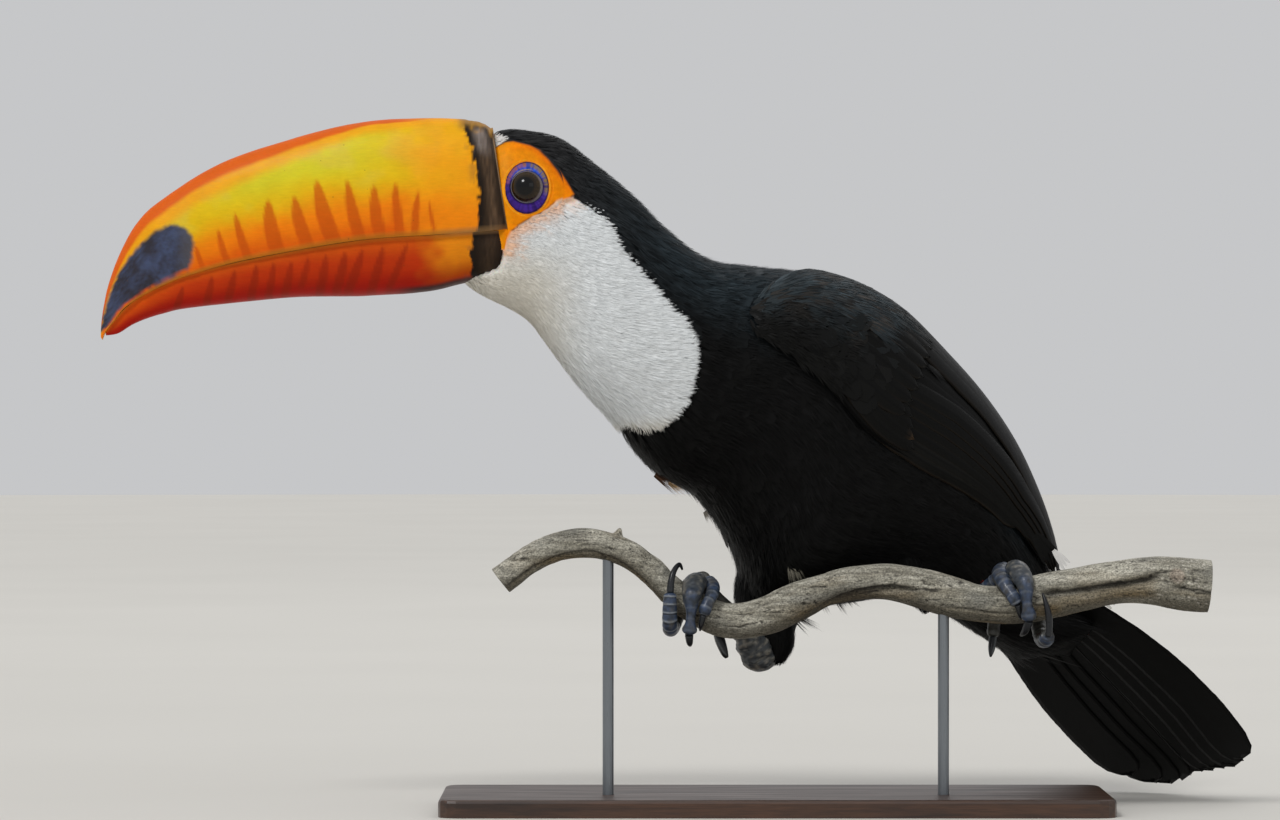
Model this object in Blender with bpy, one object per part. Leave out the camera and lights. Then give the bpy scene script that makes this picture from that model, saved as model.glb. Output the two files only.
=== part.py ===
"""A toco toucan as a still, life-size display model, crouched along a short length of branch.

The bird faces -X with its bill level, and its left side faces -Y. +Z is up, and the origin is
the centre of the stand's underside. Lengths in this file are millimetres, turned into metres
where a mesh is made. The body is first laid out straight, as midline stations, and then bent
sideways, so that the head stays square to Y while the trunk and the tail swing away to +Y.
"""
import math

import bmesh
import bpy
from mathutils import Vector

# Driving dimensions, in millimetres.
MM = 0.001
GAP = 0.3
HEAD_Y = -8.0
SWING_SLOPE = 0.36
SWING_START = -75.0
SWING_SOFTNESS = 15.0

BASE_SIZE = (300.0, 100.0, 8.0)
BASE_ROUNDING = 1.5
ROD_RADIUS = 2.5
ROD_HOLE_RADIUS = 2.8
ROD_X = (-75.0, 75.0)
ROD_SOCKET_DEPTH = 4.0
ROD_REACH = 6.0
PERCH_Y = -14.0

EYE_RADIUS = 9.0
EYE_CENTRE = (-111.6, 18.6, 279.0)

BODY_SIDES = 24
BILL_SIDES = 16

# Body stations from the bill to the tail: the midline's top (u, z) and bottom (u, z), the
# half width, and how far the widest place sits above (+) or below (-) the middle.
BODY_STATIONS = [
    (-128.8, 298.0, -140.5, 237.2, 15.0, -0.05),
    (-127.4, 304.0, -131.5, 231.2, 19.0, -0.08),
    (-121.0, 305.8, -122.5, 227.0, 23.6, -0.10),
    (-110.1, 305.2, -115.0, 223.0, 25.0, -0.10),
    (-95.8, 301.6, -109.5, 218.6, 25.5, -0.08),
    (-80.1, 290.0, -104.6, 212.0, 25.5, -0.05),
    (-65.2, 277.6, -97.4, 202.0, 26.5, -0.03),
    (-49.5, 262.0, -88.0, 189.5, 29.0, 0.00),
    (-31.4, 248.8, -74.0, 174.3, 33.0, 0.05),
    (-8.7, 245.2, -54.5, 152.0, 38.0, 0.08),
    (11.9, 242.6, -33.5, 139.0, 42.0, 0.10),
    (33.0, 235.5, -17.0, 114.0, 45.0, 0.12),
    (52.0, 224.0, -9.0, 91.3, 46.0, 0.12),
    (70.5, 206.0, 11.0, 88.5, 43.5, 0.10),
    (88.0, 186.5, 31.5, 90.0, 38.0, 0.08),
    (102.5, 166.5, 51.5, 92.3, 32.0, 0.05),
    (113.0, 146.0, 67.0, 91.2, 27.0, 0.00),
    (121.0, 126.0, 79.8, 86.0, 22.5, 0.00),
    (127.0, 108.0, 90.8, 79.6, 19.0, 0.00),
]
HEAD_END = 5.0
NECK_END = 8.0
TRUNK_END = 18.0

# Upper and lower bill stations, from the face to the tip: top (u, z), bottom (u, z), half width.
UPPER_BILL = [
    (-128.1, 306.5, -121.2, 260.7, 22.5),
    (-135.0, 309.8, -131.0, 259.5, 22.8),
    (-158.0, 310.8, -153.0, 258.0, 22.0),
    (-187.0, 308.8, -183.0, 256.0, 20.5),
    (-218.0, 301.2, -213.0, 251.4, 18.0),
    (-250.0, 290.0, -241.0, 246.0, 15.0),
    (-275.5, 274.0, -262.5, 240.2, 12.0),
    (-286.0, 264.2, -273.0, 236.2, 10.2),
    (-293.5, 251.2, -283.0, 231.3, 8.0),
    (-298.5, 238.2, -291.5, 225.6, 5.8),
    (-301.0, 227.6, -296.5, 219.6, 4.0),
    (-302.3, 218.6, -300.4, 214.8, 2.2),
    (-302.6, 212.6, -301.8, 211.4, 0.9),
]
LOWER_BILL = [
    (-121.4, 259.8, -124.8, 241.3, 19.5),
    (-137.0, 258.6, -141.0, 239.0, 19.8),
    (-153.0, 257.2, -156.0, 234.0, 19.2),
    (-182.0, 255.2, -183.0, 231.4, 17.8),
    (-213.0, 250.5, -215.0, 230.6, 15.6),
    (-243.0, 244.4, -243.0, 228.0, 12.8),
    (-262.5, 239.2, -265.0, 225.5, 10.2),
    (-273.0, 234.8, -273.5, 223.6, 8.4),
    (-282.5, 230.0, -281.5, 221.2, 6.4),
    (-290.5, 224.4, -288.5, 218.6, 4.2),
    (-296.0, 218.0, -294.6, 215.0, 2.4),
    (-299.0, 213.6, -298.4, 212.6, 0.9),
]

# Wing rows: the body station under the row, the angles of its upper and lower edges down from
# the spine in degrees, and its thickness.
WING_ROWS = [
    (9.05, 38.0, 60.0, 1.6),
    (9.30, 26.0, 70.0, 4.0),
    (10.0, 15.0, 78.0, 5.5),
    (11.0, 8.0, 82.0, 5.5),
    (12.0, 6.0, 82.0, 5.5),
    (13.0, 6.0, 81.0, 5.0),
    (14.0, 6.0, 79.0, 5.0),
    (15.0, 7.0, 76.0, 4.5),
    (16.0, 9.0, 70.0, 4.2),
    (17.0, 13.0, 61.0, 3.6),
    (17.75, 22.0, 52.0, 2.6),
    (17.97, 30.0, 44.0, 1.6),
]
WING_COLUMNS = 7
WING_STEPS = 15
WING_CLEARANCE = 0.8

TAIL_LENGTH = 129.0
TAIL_AXIS = Vector((0.711, 0.238, -0.665))
TAIL_ROLL = 25.0
TAIL_HALF_WIDTH = 46.0
TAIL_SLANT = 0.12
TAIL_ROWS = 10

# Branch centreline from its thin end: x, z and radius. Its y is PERCH_Y.
PERCH_POINTS = [
    (-123.0, 103.5, 6.4),
    (-110.0, 113.0, 6.2),
    (-97.0, 119.0, 6.4),
    (-83.0, 120.5, 6.6),
    (-70.0, 117.5, 6.3),
    (-58.0, 110.0, 5.9),
    (-48.0, 100.5, 6.1),
    (-36.0, 91.5, 7.2),
    (-25.0, 86.5, 7.8),
    (-13.0, 86.0, 8.2),
    (0.0, 89.8, 8.5),
    (11.0, 95.0, 8.4),
    (22.0, 99.5, 7.4),
    (34.0, 102.5, 7.4),
    (50.0, 103.0, 8.1),
    (65.0, 100.0, 8.7),
    (79.0, 96.3, 9.0),
    (92.0, 93.3, 8.2),
    (106.0, 93.4, 8.8),
    (119.0, 96.4, 10.2),
    (135.0, 99.8, 9.8),
    (151.0, 102.6, 9.3),
    (169.0, 103.4, 10.7),
    (182.0, 102.2, 11.6),
    (194.0, 101.2, 11.5),
]
PERCH_BEVEL_RESOLUTION = 3

# Legs: each path is a list of (x, y, z, radius).
LEGS = {
    "right": {
        "thigh": [(16, 32, 126, 15), (9, 27, 103, 12), (3, 21, 83, 9.4), (1, 17.5, 72, 7.2)],
        "tarsus": [(-6, 15, 67.5, 6.4), (-9, 12.5, 74, 4.8), (-17, 6.5, 86, 3.4),
                   (-27, -0.5, 96, 3.4), (-32, -5.5, 102, 4.6), (-33.5, -8.5, 104, 4.8)],
        "toe_3": [(-35, -12, 102.4, 5), (-36.6, -18.6, 101.4, 5.2), (-37.8, -23.8, 96.6, 4.2),
                  (-37.9, -25.4, 91, 2.7), (-38.4, -25.5, 85, 2.5), (-38.8, -24.2, 80.3, 3.1)],
        "claw_3": [(-38.8, -23.2, 79, 2.4), (-38.6, -21.8, 76.6, 1.9), (-38.2, -18.7, 74.8, 0.6)],
        "toe_2": [(-30, -9, 103, 3.2), (-28.2, -15, 101, 3.1), (-28.6, -21.5, 97.5, 3),
                  (-31, -24.6, 93, 2.8), (-32.6, -24.9, 88.5, 2.4)],
        "claw_2": [(-32.8, -24.8, 87.5, 1.9), (-33.6, -24, 84.4, 1.5), (-34, -21.4, 81.6, 0.5)],
        "toe_4": [(-37.5, -4.5, 103, 3.6), (-42, -2.6, 94, 3.6), (-45.4, -6.5, 84.6, 3.5),
                  (-47, -15.5, 82.2, 3.5), (-47.4, -23, 84.8, 3.5), (-47.5, -25, 91, 3.4),
                  (-47.3, -24.8, 98.8, 2.9)],
        "claw_4": [(-47.2, -24.6, 99.8, 2.1), (-46.8, -24, 104, 1.9), (-45.5, -22.4, 108.4, 1.5),
                   (-43.2, -19.4, 111, 1), (-41.8, -17.2, 108.6, 0.5)],
        "toe_1": [(-30.5, -4, 100, 3.1), (-27.6, -2.8, 91, 3), (-26.3, -4.6, 82.4, 2.6)],
        "claw_1": [(-26, -5.2, 81, 2.5), (-24.9, -6.6, 77, 2.8), (-23, -8, 71.6, 2),
                   (-21.8, -7.6, 68.8, 0.8)],
    },
    "left": {
        "thigh": [(50, 25, 130, 14), (57, 17, 112, 10), (63, 15.5, 99, 6.4)],
        "tarsus": [(66, 15.5, 95, 4.8), (71, 13.5, 95, 4.2), (81, 8, 98.5, 3.4),
                   (94, 0, 103, 3.4), (103, -6.5, 108, 4.6), (105.5, -8.5, 109, 4.8)],
        "toe_3": [(106.6, -12, 108, 5), (108.4, -18.5, 107, 5.2), (110.8, -24.4, 102, 3.9),
                  (111.2, -26.9, 96.5, 2.9), (112, -27.2, 90.4, 2.8), (112.4, -26, 86.8, 3.1)],
        "claw_3": [(112.2, -25, 85.4, 2.4), (111, -22.6, 81.8, 1.9), (109.2, -19, 79.4, 0.6)],
        "toe_2": [(102.2, -9.4, 108.4, 3.8), (100.4, -15.4, 106.2, 4), (102.4, -22, 101.6, 3.5),
                  (105.6, -25.6, 96.4, 2.8), (107.2, -25.9, 93.4, 2.4)],
        "claw_2": [(107.6, -25.6, 92.2, 1.9), (108.4, -24.6, 89.2, 1.4), (108.8, -22.4, 86.8, 0.5)],
        "toe_4": [(109.6, -5, 107, 3.6), (115, -1.4, 96, 3.6), (118, -4.6, 84.4, 3.6),
                  (119.4, -12, 78, 3.8), (120.3, -19.6, 78, 3.8), (120.8, -24, 79.8, 3.2)],
        "claw_4": [(121.2, -25.4, 80.8, 2.2), (121.2, -27.4, 87, 2), (120, -27.2, 93.4, 1.5),
                   (118.4, -26, 98.6, 0.6)],
        "toe_1": [(101.6, -4.4, 105, 3.3), (99.4, -2, 95, 3.2), (98.4, -3.4, 84.6, 3.1),
                  (97.8, -4.6, 78, 2.6)],
        "claw_1": [(97.6, -5.2, 76.6, 2.3), (97, -6.8, 72.8, 1.9), (96.4, -8.8, 69.4, 0.6)],
    },
}
TOES = ("3", "2", "4", "1")


def clear_scene():
    """Remove every object, so that the file holds only the model."""
    for obj in list(bpy.data.objects):
        bpy.data.objects.remove(obj, do_unlink=True)


def new_collection(name):
    """Add a collection to the scene."""
    collection = bpy.data.collections.new(name)
    bpy.context.scene.collection.children.link(collection)
    return collection


def make_material(name, colour, roughness, metallic=0.0):
    """Make a plain Principled material."""
    material = bpy.data.materials.new(name)
    material.use_nodes = True
    shader = material.node_tree.nodes["Principled BSDF"]
    shader.inputs["Base Color"].default_value = (*colour, 1.0)
    shader.inputs["Roughness"].default_value = roughness
    shader.inputs["Metallic"].default_value = metallic
    return material


def add_object(name, mesh, material, collection):
    """Put a finished mesh into a collection as one smooth-shaded object."""
    mesh.materials.clear()
    if material:
        mesh.materials.append(material)
    mesh.shade_smooth()
    mesh.set_sharp_from_angle(angle=math.radians(40.0))
    obj = bpy.data.objects.new(name, mesh)
    collection.objects.link(obj)
    return obj


def spline(rows, place):
    """Read a table of rows at a fractional row number, on a smooth curve through the rows."""
    last = len(rows) - 1
    place = min(max(place, 0.0), float(last))
    index = min(int(place), last - 1)
    t = place - index
    before = rows[max(index - 1, 0)]
    start = rows[index]
    end = rows[index + 1]
    after = rows[min(index + 2, last)]
    values = []
    for a, b, c, d in zip(before, start, end, after):
        linear = (c - a) * t
        square = (2 * a - 5 * b + 4 * c - d) * t * t
        cube = (3 * b - a - 3 * c + d) * t * t * t
        values.append(b + 0.5 * (linear + square + cube))
    return values


def bend(u, v, z):
    """Carry a point of the straight body to its place: u along it, v to its right, z up."""
    reach = (u - SWING_START) / SWING_SOFTNESS
    midline = HEAD_Y + SWING_SLOPE * SWING_SOFTNESS * math.log(1.0 + math.exp(reach))
    turn = math.atan(SWING_SLOPE / (1.0 + math.exp(-reach)))
    return Vector((u - v * math.sin(turn), midline + v * math.cos(turn), z))


def body_point(station, angle):
    """A point of the body's surface: the angle runs from the spine round the right side."""
    top_u, top_z, bottom_u, bottom_z, half_width, fullness = spline(BODY_STATIONS, station)
    up = math.cos(angle)
    across = math.sin(angle)
    u = (top_u + bottom_u) / 2 + up * (top_u - bottom_u) / 2
    z = (top_z + bottom_z) / 2 + up * (top_z - bottom_z) / 2
    v = half_width * math.copysign(abs(across) ** 0.92, across) * (1 + fullness * up)
    return bend(u, v, z)


def body_normal(station, angle):
    """The outward direction of the body's surface."""
    step = 0.02
    along = body_point(station + step, angle) - body_point(station - step, angle)
    around = body_point(station, angle + step) - body_point(station, angle - step)
    return along.cross(around).normalized()


def body_ring(station, inset):
    """One ring of body points, moved along the body by the inset."""
    ring = [body_point(station, math.tau * i / BODY_SIDES) for i in range(BODY_SIDES)]
    across = ring[BODY_SIDES // 4] - ring[3 * BODY_SIDES // 4]
    upward = ring[0] - ring[BODY_SIDES // 2]
    shift = across.cross(upward).normalized() * inset
    return [point + shift for point in ring]


def loft(name, rings, material, collection):
    """Join rings of points into one closed mesh with flat ends."""
    bm = bmesh.new()
    loops = [[bm.verts.new(point * MM) for point in ring] for ring in rings]
    count = len(loops[0])
    for lower, upper in zip(loops, loops[1:]):
        for i in range(count):
            j = (i + 1) % count
            bm.faces.new((lower[i], lower[j], upper[j], upper[i]))
    bm.faces.new(loops[0])
    bm.faces.new(loops[-1])
    bmesh.ops.triangulate(bm, faces=bm.faces[:])
    bmesh.ops.recalc_face_normals(bm, faces=bm.faces[:])
    mesh = bpy.data.meshes.new(name)
    bm.to_mesh(mesh)
    bm.free()
    return add_object(name, mesh, material, collection)


def body_piece(name, start, end, rows, material, collection):
    """A length of the body between two stations, with half the gap taken off each cut end."""
    rings = []
    for i in range(rows + 1):
        inset = GAP / 2 if i == 0 else -GAP / 2 if i == rows else 0.0
        rings.append(body_ring(start + (end - start) * i / rows, inset))
    return loft(name, rings, material, collection)


def bill_ring(row, arch):
    """A bill section: an arch over a flat mouth side. The arch is +1 upward or -1 downward."""
    top_u, top_z, bottom_u, bottom_z, half_width = row
    ridge = Vector((top_u, 0, top_z)) if arch > 0 else Vector((bottom_u, 0, bottom_z))
    mouth = Vector((bottom_u, 0, bottom_z)) if arch > 0 else Vector((top_u, 0, top_z))
    arch_steps = BILL_SIDES - 4
    points = []
    for i in range(arch_steps + 1):
        angle = math.pi * i / arch_steps
        height = math.sin(angle) ** 0.82
        across = math.copysign(abs(math.cos(angle)) ** 0.72, math.cos(angle))
        narrowing = 1 - 0.08 * (1 - height) ** 2
        middle = mouth.lerp(ridge, height)
        points.append(bend(middle.x, arch * across * half_width * narrowing, middle.z))
    for i in range(1, BILL_SIDES - arch_steps):
        points.append(points[arch_steps].lerp(points[0], i / (BILL_SIDES - arch_steps)))
    return points


def bill_piece(name, stations, arch, rows, material, collection):
    """One half of the bill."""
    last = len(stations) - 1
    rings = [bill_ring(spline(stations, last * i / rows), arch) for i in range(rows + 1)]
    return loft(name, rings, material, collection)


def wing(name, side, material, collection):
    """A folded wing: a thin shell that follows the body's side. The side is +1 right, -1 left."""
    rings = []
    last = len(WING_ROWS) - 1
    for i in range(WING_STEPS + 1):
        station, upper, lower, thickness = spline(WING_ROWS, last * i / WING_STEPS)
        outer = []
        inner = []
        for j in range(WING_COLUMNS):
            t = j / (WING_COLUMNS - 1)
            angle = side * math.radians(upper + (lower - upper) * t)
            surface = body_point(station, angle)
            outward = body_normal(station, angle)
            swell = 0.3 + 0.7 * math.sin(math.pi * t ** 1.3) ** 0.6 if 0 < t < 1 else 0.3 + 0.25 * t
            inner.append(surface + outward * WING_CLEARANCE)
            outer.append(surface + outward * (WING_CLEARANCE + thickness * swell))
        rings.append(outer + inner[::-1])
    return loft(name, rings, material, collection)


def tail_ring(t):
    """A section of the tail at a fraction of its length: the rump's end, flattening to a fan."""
    roll = math.radians(TAIL_ROLL)
    level = Vector((-TAIL_AXIS.y, TAIL_AXIS.x, 0)).normalized()
    upright = TAIL_AXIS.cross(level).normalized()
    across = level * math.cos(roll) - upright * math.sin(roll)
    upward = upright * math.cos(roll) + level * math.sin(roll)
    root = body_ring(TRUNK_END, GAP / 2)
    travel = TAIL_AXIS * (t * TAIL_LENGTH)
    centre = (root[0] + root[BODY_SIDES // 2]) / 2 + travel
    spread = 26.0 + (TAIL_HALF_WIDTH - 26.0) * math.sin(min(t / 0.75, 1.0) * math.pi / 2)
    half_width = spread * (1 - 0.6 * max(0.0, (t - 0.8) / 0.2) ** 3)
    half_thickness = 1.0 + 17.0 * max(0.0, 1 - t / 0.6) ** 1.6 + 1.2 * (1 - t)
    flatness = min(t / 0.35, 1.0) ** 0.8
    points = []
    for i in range(BODY_SIDES):
        angle = math.tau * i / BODY_SIDES
        offset = across * (half_width * math.sin(angle)) + upward * (half_thickness * math.cos(angle))
        offset -= TAIL_AXIS * (TAIL_SLANT * t * half_width * math.sin(angle))
        points.append((root[i] + travel).lerp(centre + offset, flatness))
    return points


def tail(name, material, collection):
    """The closed tail with its coverts."""
    rings = [tail_ring(i / TAIL_ROWS) for i in range(TAIL_ROWS + 1)]
    return loft(name, rings, material, collection)


def tube(name, path, material, collection, bevel_resolution=2, steps=2):
    """A tapering round limb along a smooth path of (x, y, z, radius), with rounded ends."""
    count = (len(path) - 1) * steps
    points = [spline(path, i / steps) for i in range(count + 1)]
    points = [round_end(points[0], points[1])] + points + [round_end(points[-1], points[-2])]
    curve = bpy.data.curves.new(name, "CURVE")
    curve.dimensions = "3D"
    curve.bevel_depth = MM
    curve.bevel_resolution = bevel_resolution
    curve.use_fill_caps = True
    line = curve.splines.new("POLY")
    line.points.add(len(points) - 1)
    for target, (x, y, z, radius) in zip(line.points, points):
        target.co = (x * MM, y * MM, z * MM, 1.0)
        target.radius = radius
    source = bpy.data.objects.new(name + "_path", curve)
    bpy.context.scene.collection.objects.link(source)
    mesh = evaluated_mesh(source)
    bpy.data.objects.remove(source, do_unlink=True)
    bm = bmesh.new()
    bm.from_mesh(mesh)
    bmesh.ops.remove_doubles(bm, verts=bm.verts[:], dist=0.02 * MM)
    bmesh.ops.triangulate(bm, faces=bm.faces[:])
    bmesh.ops.recalc_face_normals(bm, faces=bm.faces[:])
    bm.to_mesh(mesh)
    bm.free()
    mesh.name = name
    return add_object(name, mesh, material, collection)


def round_end(tip, neighbour):
    """A smaller point just past a limb's end, which rounds it off."""
    outward = Vector(tip[:3]) - Vector(neighbour[:3])
    beyond = Vector(tip[:3]) + outward.normalized() * tip[3] * 0.45
    return [*beyond, tip[3] * 0.6]


def evaluated_mesh(obj):
    """A new mesh of the object with its modifiers applied."""
    bpy.context.view_layer.update()
    depsgraph = bpy.context.evaluated_depsgraph_get()
    return bpy.data.meshes.new_from_object(obj.evaluated_get(depsgraph))


def clearance_copy(obj, cutters, gap=GAP):
    """A cutter the shape of an object, grown by the gap."""
    mesh = evaluated_mesh(obj)
    bm = bmesh.new()
    bm.from_mesh(mesh)
    bmesh.ops.triangulate(bm, faces=bm.faces[:])
    bm.normal_update()
    moves = [(vert, vert.normal * gap * MM * min(vert.calc_shell_factor(), 1.5)) for vert in bm.verts]
    for vert, move in moves:
        vert.co += move
    bm.to_mesh(mesh)
    bm.free()
    return hidden_cutter(obj.name + "_clearance", mesh, cutters)


def hidden_cutter(name, mesh, cutters):
    """Put a mesh among the cutters, out of the model."""
    cutter = bpy.data.objects.new(name, mesh)
    cutter.hide_render = True
    cutter.display_type = "WIRE"
    cutters.objects.link(cutter)
    return cutter


def cut(obj, cutter):
    """Take the cutter's volume out of an object."""
    modifier = obj.modifiers.new("cut_" + cutter.name, "BOOLEAN")
    modifier.operation = "DIFFERENCE"
    modifier.solver = "EXACT"
    modifier.use_self = True
    modifier.object = cutter


def eye(name, side, material, collection):
    """An eyeball, set into the side of the head."""
    u, v, z = EYE_CENTRE
    bm = bmesh.new()
    bmesh.ops.create_uvsphere(bm, u_segments=12, v_segments=8, radius=EYE_RADIUS * MM)
    bmesh.ops.translate(bm, verts=bm.verts[:], vec=bend(u, side * v, z) * MM)
    mesh = bpy.data.meshes.new(name)
    bm.to_mesh(mesh)
    bm.free()
    return add_object(name, mesh, material, collection)


def perch(name, material, collection):
    """The cut length of branch."""
    path = [(x, PERCH_Y, z, radius) for x, z, radius in PERCH_POINTS]
    return tube(name, path, material, collection, PERCH_BEVEL_RESOLUTION, steps=1)


def perch_height(x):
    """The height of the branch's centreline above a place on the stand."""
    for (x0, z0, _), (x1, z1, _) in zip(PERCH_POINTS, PERCH_POINTS[1:]):
        if x0 <= x <= x1:
            return z0 + (z1 - z0) * (x - x0) / (x1 - x0)
    raise ValueError("no branch above this place")


def cylinder(name, x, y, low, high, radius, sides=16):
    """An upright round bar as a mesh."""
    bm = bmesh.new()
    bmesh.ops.create_cone(bm, cap_ends=True, segments=sides, radius1=radius * MM,
                          radius2=radius * MM, depth=(high - low) * MM)
    bmesh.ops.translate(bm, verts=bm.verts[:], vec=Vector((x, y, (low + high) / 2)) * MM)
    mesh = bpy.data.meshes.new(name)
    bm.to_mesh(mesh)
    bm.free()
    return mesh


def stand(branch, wood, metal, parts, cutters):
    """The flat base and the two rods that carry the branch."""
    bm = bmesh.new()
    bmesh.ops.create_cube(bm, size=1.0)
    bmesh.ops.scale(bm, verts=bm.verts[:], vec=Vector(BASE_SIZE) * MM)
    bmesh.ops.translate(bm, verts=bm.verts[:], vec=Vector((0, 0, BASE_SIZE[2] / 2)) * MM)
    uprights = [edge for edge in bm.edges if abs((edge.verts[0].co - edge.verts[1].co).z) > MM]
    bmesh.ops.bevel(bm, geom=uprights, offset=8 * MM, segments=3, affect="EDGES", profile=0.5)
    rim = [edge for edge in bm.edges if all(v.co.z > (BASE_SIZE[2] - 0.1) * MM for v in edge.verts)]
    bmesh.ops.bevel(bm, geom=rim, offset=BASE_ROUNDING * MM, segments=2, affect="EDGES", profile=0.5)
    mesh = bpy.data.meshes.new("stand_base")
    bm.to_mesh(mesh)
    bm.free()
    base = add_object("stand_base", mesh, wood, parts)
    foot = BASE_SIZE[2] - ROD_SOCKET_DEPTH
    for number, x in enumerate(ROD_X, start=1):
        top = perch_height(x) - GAP
        reach = top - GAP
        hole = cylinder("rod_hole", x, PERCH_Y, foot, top, ROD_HOLE_RADIUS)
        socket = hidden_cutter("rod_hole_%d" % number, hole, cutters)
        cut(base, socket)
        cut(branch, socket)
        rod = cylinder("rod", x, PERCH_Y, foot + GAP, reach, ROD_RADIUS)
        add_object("stand_rod_%d" % number, rod, metal, parts)


def leg(side, path_set, trunk_cutter, branch_cutter, materials, parts, cutters):
    """One leg: thigh, tarsus, and four toes with their claws, each fitted to what it meets."""
    skin = materials["foot"]
    claw = materials["claw"]
    tarsus = tube("tarsus_" + side, path_set["tarsus"], skin, parts)
    cut(tarsus, trunk_cutter)
    cut(tarsus, branch_cutter)
    tarsus_cutter = clearance_copy(tarsus, cutters)
    thigh = tube("thigh_" + side, path_set["thigh"], materials["plumage"], parts, 4)
    cut(thigh, trunk_cutter)
    cut(thigh, tarsus_cutter)
    neighbours = [branch_cutter, tarsus_cutter]
    for number in TOES:
        toe = tube("toe_%s_%s" % (side, number), path_set["toe_" + number], skin, parts)
        for neighbour in neighbours:
            cut(toe, neighbour)
        toe_cutter = clearance_copy(toe, cutters)
        neighbours.append(toe_cutter)
        nail = tube("claw_%s_%s" % (side, number), path_set["claw_" + number], claw, parts, 1)
        cut(nail, branch_cutter)
        cut(nail, toe_cutter)


def build():
    """Build the bird, its branch and the stand."""
    clear_scene()
    parts = new_collection("toucan_display_model")
    cutters = new_collection("cutters")
    materials = {
        "plumage": make_material("black_plumage", (0.012, 0.012, 0.014), 0.6),
        "face": make_material("head_plumage", (0.75, 0.72, 0.64), 0.7),
        "bill": make_material("bill", (0.90, 0.34, 0.02), 0.3),
        "eye": make_material("eye", (0.02, 0.012, 0.008), 0.1),
        "foot": make_material("foot_skin", (0.16, 0.21, 0.27), 0.5),
        "claw": make_material("claw", (0.02, 0.02, 0.025), 0.35),
        "bark": make_material("bark", (0.33, 0.28, 0.21), 0.85),
        "wood": make_material("base_wood", (0.10, 0.055, 0.03), 0.4),
        "metal": make_material("rod_metal", (0.35, 0.35, 0.36), 0.35, 1.0),
    }
    upper = bill_piece("bill_upper", UPPER_BILL, 1, 16, materials["bill"], parts)
    lower = bill_piece("bill_lower", LOWER_BILL, -1, 14, materials["bill"], parts)
    head = body_piece("head", 0.0, HEAD_END, 9, materials["face"], parts)
    for half in (upper, lower):
        cut(head, clearance_copy(half, cutters))
    body_piece("neck", HEAD_END, NECK_END, 5, materials["plumage"], parts)
    trunk = body_piece("trunk", NECK_END, TRUNK_END, 20, materials["plumage"], parts)
    tail("tail", materials["plumage"], parts)
    for side, sign in (("left", -1), ("right", 1)):
        ball = eye("eye_" + side, sign, materials["eye"], parts)
        cut(head, clearance_copy(ball, cutters))
        wing("wing_" + side, sign, materials["plumage"], parts)
    branch = perch("perch", materials["bark"], parts)
    stand(branch, materials["wood"], materials["metal"], parts, cutters)
    branch_cutter = clearance_copy(branch, cutters)
    cut(trunk, branch_cutter)
    trunk_cutter = clearance_copy(trunk, cutters)
    for side, path_set in LEGS.items():
        leg(side, path_set, trunk_cutter, branch_cutter, materials, parts, cutters)


build()
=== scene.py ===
import math

import bmesh
import bpy
import numpy as np
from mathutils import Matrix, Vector


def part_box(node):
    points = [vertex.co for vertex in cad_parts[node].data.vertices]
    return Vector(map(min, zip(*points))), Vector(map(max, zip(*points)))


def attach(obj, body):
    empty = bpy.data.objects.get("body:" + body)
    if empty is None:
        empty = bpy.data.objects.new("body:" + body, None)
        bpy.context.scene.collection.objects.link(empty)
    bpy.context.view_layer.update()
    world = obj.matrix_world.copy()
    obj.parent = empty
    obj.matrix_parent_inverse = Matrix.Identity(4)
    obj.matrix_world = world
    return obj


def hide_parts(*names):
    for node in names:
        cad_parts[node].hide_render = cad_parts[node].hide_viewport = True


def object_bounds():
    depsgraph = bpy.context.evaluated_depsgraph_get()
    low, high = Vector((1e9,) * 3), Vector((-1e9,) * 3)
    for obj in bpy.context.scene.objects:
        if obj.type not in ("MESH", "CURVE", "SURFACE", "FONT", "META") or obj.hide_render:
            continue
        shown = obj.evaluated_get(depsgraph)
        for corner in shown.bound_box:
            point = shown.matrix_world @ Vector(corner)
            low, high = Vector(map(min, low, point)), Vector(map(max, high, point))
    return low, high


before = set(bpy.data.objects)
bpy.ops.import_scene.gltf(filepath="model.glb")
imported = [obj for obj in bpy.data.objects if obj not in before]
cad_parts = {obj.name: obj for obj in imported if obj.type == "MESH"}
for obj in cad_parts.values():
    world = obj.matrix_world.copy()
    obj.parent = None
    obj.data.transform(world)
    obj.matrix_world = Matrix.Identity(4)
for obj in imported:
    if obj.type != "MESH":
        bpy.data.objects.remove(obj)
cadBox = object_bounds()
scene = bpy.context.scene
print("frame loaded:", len(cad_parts), "nodes")

# Lengths in the value dictionaries are millimetres unless they say otherwise.
mm = 0.001
randomDraw = np.random.default_rng(7)


def toLinear(code):  # sRGB hex to linear red, green, blue
    parts = [int(code[i:i + 2], 16) / 255 for i in (1, 3, 5)]
    return [p / 12.92 if p <= 0.04045 else ((p + 0.055) / 1.055) ** 2.4 for p in parts]


def setNode(tree, node, settings):  # a setting is a value, a hex colour, a node or an output of a node
    for key, value in settings.items():
        if isinstance(value, bpy.types.Node):
            value = value.outputs[0]
        if isinstance(value, bpy.types.NodeSocket):
            tree.links.new(value, node.inputs[key])
        elif isinstance(key, int) or key in node.inputs:
            node.inputs[key].default_value = (*toLinear(value), 1) if isinstance(value, str) else value
        else:
            setattr(node, key, value)


def addNode(tree, kind, settings):  # one node with its settings and its links
    node = tree.nodes.new("ShaderNode" + kind)
    setNode(tree, node, settings)
    return node


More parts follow.
